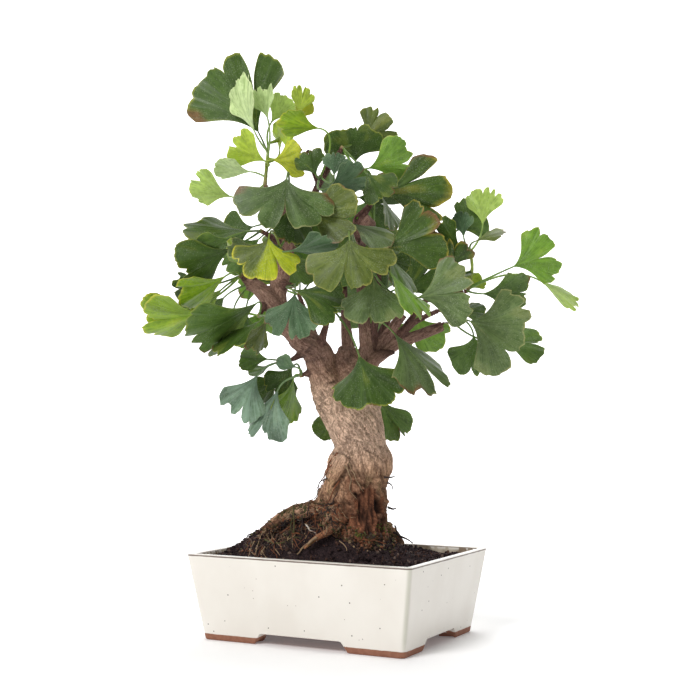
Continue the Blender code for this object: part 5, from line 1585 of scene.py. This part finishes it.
    @staticmethod
    def tint(leaf, u, v, number, scorch):
        """Colours of both faces: the green, lighter in streaks along the rays, a pale rim
        of uneven width, and scorched spots that start at the rim."""
        blade, rim, under, width, scorched, blotched = GREENS[leaf["green"]]
        blade, rim, under = linear(blade), linear(rim), linear(under)
        seed = number * 29
        streak = blade_noise(u * 7, v * 0.7, number, seed)
        cloud = fractal(np.stack((u * 2.2, v * 2.2, 0 * u + number), -1), 2, seed + 1)
        uneven = blade_noise(u * 4.5, 0 * u, number, seed + 2)
        shade = 1 + blotched * (0.35 * streak + 0.4 * cloud)
        whole = 1 + 0.10 * noise(np.array([[number * 0.77, 0.0, 0.0]]), 5)[0]
        upper = blade * (shade * whole)[..., None]
        upper = blend(upper, blade + (rim - blade) * 0.5, smoothstep(0.5, 0.9, cloud) * blotched)
        if leaf["green"] == "golden":
            upper = laid(upper, GREENS["olive"][0], smoothstep(0.0, 0.3, u + 0.1 * cloud))
        lower = under * (1 + 0.5 * blotched * (0.4 * streak + 0.3 * cloud))[..., None]
        near = smoothstep(1 - width * (1.3 + 1.1 * uneven), 1 - 0.2 * width, v)
        near = np.maximum(near, smoothstep(0.985, 1.0, np.abs(u)) * 0.4)
        upper, lower = blend(upper, rim, near * 0.85), blend(lower, rim, near * 0.6)
        spots = blade_noise(u * 2.6, v * 1.8, number * 3, seed + 3)
        burnt = smoothstep(0.62 - scorched * 2.4, 0.9 - scorched, spots * v ** 2 + 0.25 * near)
        burnt = burnt * (scorched > 0)
        for start, end, reach in leaf.get("burns", ()):
            along = smoothstep(start, start + 0.06, u) * smoothstep(end, end - 0.06, u)
            inward = smoothstep(1 - reach, 1 - reach * 0.5, v + 0.05 * uneven)
            burnt = np.maximum(burnt, along * inward)
        upper = blend(upper, scorch, np.clip(burnt, 0, 0.9))
        lower = blend(lower, scorch, np.clip(burnt, 0, 0.8))
        return (np.clip(upper, 0.003, 1).reshape(-1, 3), np.clip(lower, 0.003, 1).reshape(-1, 3))


# Fine roots and twigs seen on the mound: colour, radius, then places (across, up)
FINE_ROOTS = (
    ("tan", 1.3, ((-20, 80), (-25, 76), (-30, 71), (-36, 65))),
    ("white", 0.75, ((-35, 94), (-28, 90), (-24, 86), (-20, 83), (-20, 78))),
    ("tan", 0.7, ((-62, 87), (-58, 78), (-53, 70), (-50, 65))),
    ("tan", 0.6, ((-66, 86), (-70, 78), (-74, 70), (-76, 64))),
    ("tan", 0.6, ((-62, 88), (-66, 80), (-68, 72), (-70, 65))),
    ("rust", 1.0, ((-35, 98), (-38, 92), (-42, 88), (-48, 84), (-52, 82))),
    ("moss", 0.9, ((-62, 78), (-56, 75), (-48, 75), (-44, 77))),
    ("tan", 0.5, ((7, 143), (10, 137), (12, 132), (18, 122), (20, 118))),
    ("tan", 0.5, ((-12, 101), (-6, 99), (0, 95), (6, 92), (12, 89))),
    ("rust", 0.7, ((-2, 150), (-8, 142), (-10, 134), (-16, 128), (-20, 120))),
    ("rust", 0.6, ((-6, 140), (-12, 136), (-13, 126), (-20, 118))),
    ("dark", 0.6, ((-10, 130), (-17, 126), (-20, 114), (-28, 110))),
    ("tan", 0.6, ((-4, 146), (4, 140), (9, 130), (8, 120), (13, 112))),
    ("rust", 0.6, ((0, 128), (-6, 120), (-8, 112), (-14, 108), (-24, 106))),
    ("dark", 1.1, ((36, 130), (42, 130), (46, 131))),
    ("dark", 0.8, ((38, 126), (43, 124), (44, 120))),
    ("dark", 1.2, ((39, 105), (44, 104), (47, 105))),
    ("dark", 1.1, ((44, 84), (50, 81), (56, 79), (61, 76))),
    ("dark", 0.8, ((46, 90), (47, 84), (49, 80))),
    ("rust", 0.8, ((14, 80), (22, 78), (30, 77), (38, 74))),
    ("tan", 0.5, ((0, 77), (4, 72), (6, 68))),
    ("moss", 0.6, ((-46, 92), (-40, 86), (-38, 80))),
)
FIBRES = {"earth": (92, 66, 50), "tan": (164, 138, 108), "white": (222, 214, 202),
          "rust": (134, 82, 52), "moss": (88, 86, 46), "dark": (58, 44, 38),
          "green": (112, 132, 46)}

# Tufts of moss: across, up, blades and colour
TUFTS = (
    (15, 82, 20, "green"), (24, 79, 20, "moss"), (36, 88, 34, "green"), (42, 74, 26, "moss"),
    (30, 76, 24, "moss"), (-60, 97, 50, "moss"), (-72, 90, 50, "moss"), (-48, 101, 40, "moss"),
    (-42, 80, 40, "moss"), (-30, 106, 40, "moss"), (-14, 131, 14, "moss"), (2, 86, 30, "moss"),
    (-18, 108, 30, "moss"), (-66, 84, 40, "earth"), (-34, 88, 40, "earth"),
)


class GroundFinder:
    """Finds where a line of sight meets the wood or the soil."""

    def __init__(self):
        self.trees = []
        for name in ("trunk_and_branches", "potting_soil"):
            mesh = bpy.data.objects[name].data
            points = [vertex.co / MM for vertex in mesh.vertices]
            self.trees.append(BVHTree.FromPolygons(points, [tuple(p.vertices)
                                                            for p in mesh.polygons]))

    def hit(self, start, way):
        """The nearest hit as (place, normal, distance), or None."""
        best = None
        for tree in self.trees:
            spot, normal, _, far = tree.ray_cast(Vector(start), Vector(way))
            if spot is not None and (best is None or far < best[2]):
                best = (np.array(spot), np.array(normal), far)
        return best

    def seen(self, across, up):
        """The place that the viewer sees at a point of the drawing, or None."""
        eye, flat = to_pot(EYE), to_pot(place(across, up, 0))
        return self.hit(eye, unit(flat - eye))

    def below(self, x, y):
        """The ground straight under a place in the pot, or None."""
        return self.hit(np.array((x, y, 300.0)) + POT_CENTRE, np.array((0, 0, -1.0)))


class MakeMound(bpy.types.Operator):
    """Make the fine roots, dead twigs and moss on the mound"""
    bl_idname = "bonsai.mound"
    bl_label = "Roots and moss"

    def execute(self, context):
        """Roots, then moss and chips, all drawn from one seed and dropped on the ground."""
        own = context.scene.bonsai_soil
        ground = GroundFinder()
        draw = np.random.default_rng(SEED + 1)
        parts = [self.drawn_root(ground, *row) for row in FINE_ROOTS]
        parts += self.loose_roots(ground, own.rootlets, draw)
        parts += self.matted_roots(ground, 2 * own.rootlets, draw)
        parts = [part for part in parts if part is not None]
        points, quads, values = joined(parts)
        new_piece("fine_roots", points, quads, values, "root fibre")
        parts = self.moss(ground, draw) + self.litter(ground, own.chips, draw)
        points, quads, values = joined(parts)
        new_piece("moss_and_litter", points, quads, values, "root fibre")
        return {"FINISHED"}

    @staticmethod
    def fibre(path, radius, colour, bend=0.0, seed=0):
        """A tapering round profile along a smooth path, bent a little by noise."""
        run = smooth_path(np.array(path), 7)
        run = run + bend * np.stack([noise(run / 5.0, seed + k) for k in range(3)], -1)
        share = np.linspace(0, 1, len(run))
        radii = radius * (1 - 0.6 * share)
        points, quads = tube(run, radii, 6)
        tint = np.tile(linear(FIBRES[colour]), (len(points), 1))
        tint *= 1 + 0.3 * noise(points / 3.0, seed)[:, None]
        return points, quads, {"tint": np.clip(tint, 0.003, 1)}

    @staticmethod
    def drawn_root(ground, colour, radius, places):
        """Each place is dropped on what the viewer sees there, or keeps the last depth."""
        path, depth = [], -20.0
        for across, up in places:
            found = ground.seen(across, up)
            if found is not None:
                spot, normal, _ = found
                spot = spot + normal * (radius * 0.7 + 0.7)
                depth = to_drawing(spot)[1]
            else:
                spot = to_pot(place(across, up, depth))
            path.append(spot)
        return MakeMound.fibre(path, radius, colour, 0.5, int(places[0][0]) + 200)

    @staticmethod
    def loose_roots(ground, number, draw):
        """Random walks on the mound: each step turns a little and drops to the ground."""
        made = []
        for index in range(number):
            angle = draw.uniform(0, 2 * math.pi)
            reach = draw.uniform(18, 62)
            spot = np.array(MOUND_CENTRE) + reach * np.array((math.cos(angle),
                                                             0.8 * math.sin(angle)))
            way = angle + draw.uniform(-1.2, 1.2)
            path = []
            for _ in range(draw.integers(4, 8)):
                found = ground.below(*spot)
                if found is None or abs(spot[0]) > 90 or abs(spot[1]) > 66 or found[0][2] > 112:
                    break
                path.append(found[0] + found[1] * draw.uniform(0.0, 1.6))
                way += draw.uniform(-0.7, 0.7)
                spot = spot + draw.uniform(2.5, 5.5) * np.array((math.cos(way), math.sin(way)))
            if len(path) > 2:
                colour = draw.choice(("tan", "rust", "dark", "moss", "dark", "rust", "tan"))
                made.append(MakeMound.fibre(path, draw.uniform(0.25, 0.7), str(colour), 0.6,
                                            index))
        return made

    @staticmethod
    def matted_roots(ground, number, draw):
        """Short fibres on the slope left of the trunk, walked over what the viewer sees."""
        made = []
        for index in range(number):
            across = draw.uniform(-78, 4)
            up = 76 + (across + 78) * 0.42 + draw.uniform(-13, 3)
            way = draw.uniform(-2.6, -0.3) if index % 3 else draw.uniform(0, 6.3)
            path = []
            for _ in range(draw.integers(4, 8)):
                found = ground.seen(across, up)
                if found is None or to_drawing(found[0])[1] > 60:
                    break
                path.append(found[0] + found[1] * draw.uniform(0.1, 1.8))
                way += draw.uniform(-0.6, 0.6)
                step = draw.uniform(1.5, 3.6)
                across, up = across + step * math.cos(way), up + step * math.sin(way)
            if len(path) > 2:
                colour = draw.choice(("tan", "rust", "dark", "rust", "dark", "earth", "earth"))
                made.append(MakeMound.fibre(path, draw.uniform(0.2, 0.65), str(colour), 0.7,
                                            index + 400))
        return made

    @staticmethod
    def litter(ground, number, draw):
        """Flat chips of dead leaf and bark: dented discs that lie on the slope."""
        turn = np.linspace(0, 2 * math.pi, 7, endpoint=False)
        parts = []
        for _ in range(number):
            across = draw.uniform(-84, 48)
            up = draw.uniform(68, 84) + 24 * math.exp(-((across + 24) / 26) ** 2)
            found = ground.seen(across, up)
            if found is None:
                continue
            spot, normal, _ = found
            side = unit(np.cross(normal, draw.normal(0, 1, 3)))
            other = np.cross(normal, side)
            reach = draw.uniform(0.6, 2.2) * draw.uniform(0.6, 1.2, 7)
            rim = (spot + normal * draw.uniform(0.2, 1.0)
                   + side * (reach * np.cos(turn))[:, None]
                   + other * (0.6 * reach * np.sin(turn))[:, None]
                   + normal * draw.uniform(-0.3, 0.5, 7)[:, None])
            middle = rim.mean(axis=0)
            rings = [np.tile(middle + normal * 0.3, (7, 1)), rim + normal * 0.12,
                     rim - normal * 0.12, np.tile(middle - normal * 0.2, (7, 1))]
            colour = str(draw.choice(("earth", "rust", "tan", "dark", "moss")))
            tint = np.tile(linear(FIBRES[colour]) * draw.uniform(0.6, 1.2), (28, 1))
            parts.append((np.vstack(rings), grid_quads(4, 7, wrap=True), {"tint": tint}))
        return parts

    @staticmethod
    def moss(ground, draw):
        """Tufts of short pointed blades, standing out of the ground where they grow."""
        parts = []
        for across, up, number, colour in TUFTS:
            for _ in range(number):
                found = ground.seen(across + draw.normal(0, 3.2), up + draw.normal(0, 2.6))
                if found is None:
                    continue
                spot, normal, _ = found
                way = unit(normal + draw.normal(0, 0.6, 3) + (0, 0, 0.4))
                length = draw.uniform(0.8, 2.6)
                path = np.array((spot - way * 0.4, spot + way * length * 0.5,
                                 spot + way * length))
                points, quads = tube(path, (0.45, 0.38, 0.05), 4)
                tint = linear(FIBRES[colour]) * draw.uniform(0.55, 1.3)
                parts.append((points, quads, {"tint": np.tile(tint, (len(points), 1))}))
        return parts


class MakeStage(bpy.types.Operator):
    """Make the pale floor that glows with painted light, the soft lights and the camera"""
    bl_idname = "bonsai.stage"
    bl_label = "Stage"

    def execute(self, context):
        self.floor()
        self.lights(context.scene)
        self.camera(context.scene)
        context.scene.view_settings.view_transform = "Standard"
        return {"FINISHED"}

    @staticmethod
    def floor():
        """A floor that curves up into a backdrop far behind the plant, glowing with painted
        light.
        """
        turn = VIEW_TURN
        away = np.concatenate((np.linspace(-3.0, 2.2, 20), 2.2 + 0.8 * np.sin(
            np.linspace(0, math.pi / 2, 16)[1:]), np.full(4, 3.0)))
        rise = np.concatenate((np.zeros(20), 0.8 - 0.8 * np.cos(
            np.linspace(0, math.pi / 2, 16)[1:]), np.linspace(1.2, 3.5, 4)))
        across = np.linspace(-4, 4, 3)
        grid_away, grid_across = np.meshgrid(away, across, indexing="ij")
        grid_rise = np.repeat(rise[:, None], 3, axis=1)
        x = math.cos(turn) * grid_across - math.sin(turn) * grid_away
        y = math.sin(turn) * grid_across + math.cos(turn) * grid_away
        points = np.stack((x, y, grid_rise - 0.0002), -1).reshape(-1, 3)
        mesh = bpy.data.meshes.new("floor")
        mesh.from_pydata(points, [], grid_quads(len(away), 3))
        mesh.shade_smooth()
        made, nodes, shader = new_surface("paper", 0.9, 0.1)
        where = nodes.add("TexCoord").outputs["Object"]
        grain = nodes.even_noise(where, 300.0)
        nodes.join(nodes.mix(grain, (0.93, 0.935, 0.94), (0.955, 0.955, 0.96)),
                   shader.inputs["Base Color"])
        away = nodes.add("VectorMath", operation="DOT_PRODUCT")
        away.inputs[1].default_value = (-math.sin(turn), math.cos(turn), 0.0)
        nodes.join(where, away.inputs[0])
        far = nodes.add("VectorMath", operation="LENGTH")
        nodes.join(where, far.inputs[0])
        # painted light: the floor and backdrop glow by their own emission, dim near the pot and
        # bright away from it and behind the plant
        lit = nodes.maths("MAXIMUM", nodes.ramp(away.outputs["Value"], 0.0, 1.2),
                          nodes.ramp(far.outputs["Value"], 0.8, 1.9))
        nodes.join(nodes.mix(lit, (0.10, 0.10, 0.103), (0.92, 0.92, 0.93)),
                   shader.inputs["Emission Color"])
        shader.inputs["Emission Strength"].default_value = 1.0
        mesh.materials.append(made)
        floor = new_object("floor", mesh)

    @staticmethod
    def lights(scene):
        """A broad key from the upper left front and a top light, in a pale room."""
        world = bpy.data.worlds.new("studio")
        world.use_nodes = True
        nodes = Nodes(world.node_tree)
        room = world.node_tree.nodes["Background"]
        room.inputs["Color"].default_value = (1.0, 0.978, 0.95, 1.0)
        seen = nodes.add("LightPath").outputs["Is Camera Ray"]
        nodes.join(nodes.maths("MULTIPLY_ADD", seen, 0.68, 0.385), room.inputs["Strength"])
        scene.world = world
        target = np.array((0.0, 0.0, 0.26))
        for name, spot, size, power, colour in (
                ("key", (-1.1, -1.5, 1.7), 0.7, 32, (1.0, 0.99, 0.985)),
                ("top", (0.1, 0.5, 2.1), 1.1, 15, (1.0, 1.0, 1.0))):
            lamp = bpy.data.lights.new(name, "AREA")
            lamp.size = size
            lamp.energy = power
            lamp.color = colour
            thing = new_object(name, lamp)
            turned = to_pot(np.array(spot) / MM) * MM
            thing.location = turned
            thing.rotation_euler = Vector(target - turned).to_track_quat("-Z", "Y").to_euler()

    @staticmethod
    def camera(scene):
        """The camera that the pot's corners were fitted to."""
        lens = bpy.data.cameras.new("camera")
        lens.lens = LENS_MM
        lens.sensor_width = 36.0
        lens.clip_start = 0.01
        lens.clip_end = 20.0
        thing = new_object("camera", lens)
        thing.location = to_pot(EYE) * MM
        thing.rotation_euler = (math.pi / 2 + VIEW_TILT, 0.0, VIEW_TURN)
        scene.camera = thing


class BonsaiPanel(bpy.types.Panel):
    """Lists the bonsai's sizes and the steps that make it"""
    bl_idname = "VIEW3D_PT_bonsai"
    bl_label = "Ginkgo bonsai"
    bl_space_type = "VIEW_3D"
    bl_region_type = "UI"
    bl_category = "Bonsai"

    def draw(self, context):
        for group in ("bonsai_pot", "bonsai_soil", "bonsai_bark", "bonsai_foliage"):
            own = getattr(context.scene, group)
            box = self.layout.box()
            for name in own.bl_rna.properties.keys():
                if name not in ("rna_type", "name"):
                    box.prop(own, name)
        for step in STEPS:
            self.layout.operator(step.bl_idname)


GROUPS = {"bonsai_pot": BonsaiPot, "bonsai_foliage": BonsaiFoliage, "bonsai_bark": BonsaiBark,
          "bonsai_soil": BonsaiSoil}
STEPS = (MakeSurfaces, MakePot, MakeSoil, MakeWood, MakeMound, MakeSprays, MakeStage)


def register():
    for made in (*GROUPS.values(), *STEPS, BonsaiPanel):
        bpy.utils.register_class(made)
    for name, group in GROUPS.items():
        setattr(bpy.types.Scene, name, bpy.props.PointerProperty(type=group))


def unregister():
    for name in GROUPS:
        delattr(bpy.types.Scene, name)
    for made in (BonsaiPanel, *reversed(STEPS), *GROUPS.values()):
        bpy.utils.unregister_class(made)


def main():
    register()
    for step in STEPS:
        family, name = step.bl_idname.split(".")
        getattr(getattr(bpy.ops, family), name)()
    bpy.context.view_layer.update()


if __name__ == "__main__":
    main()
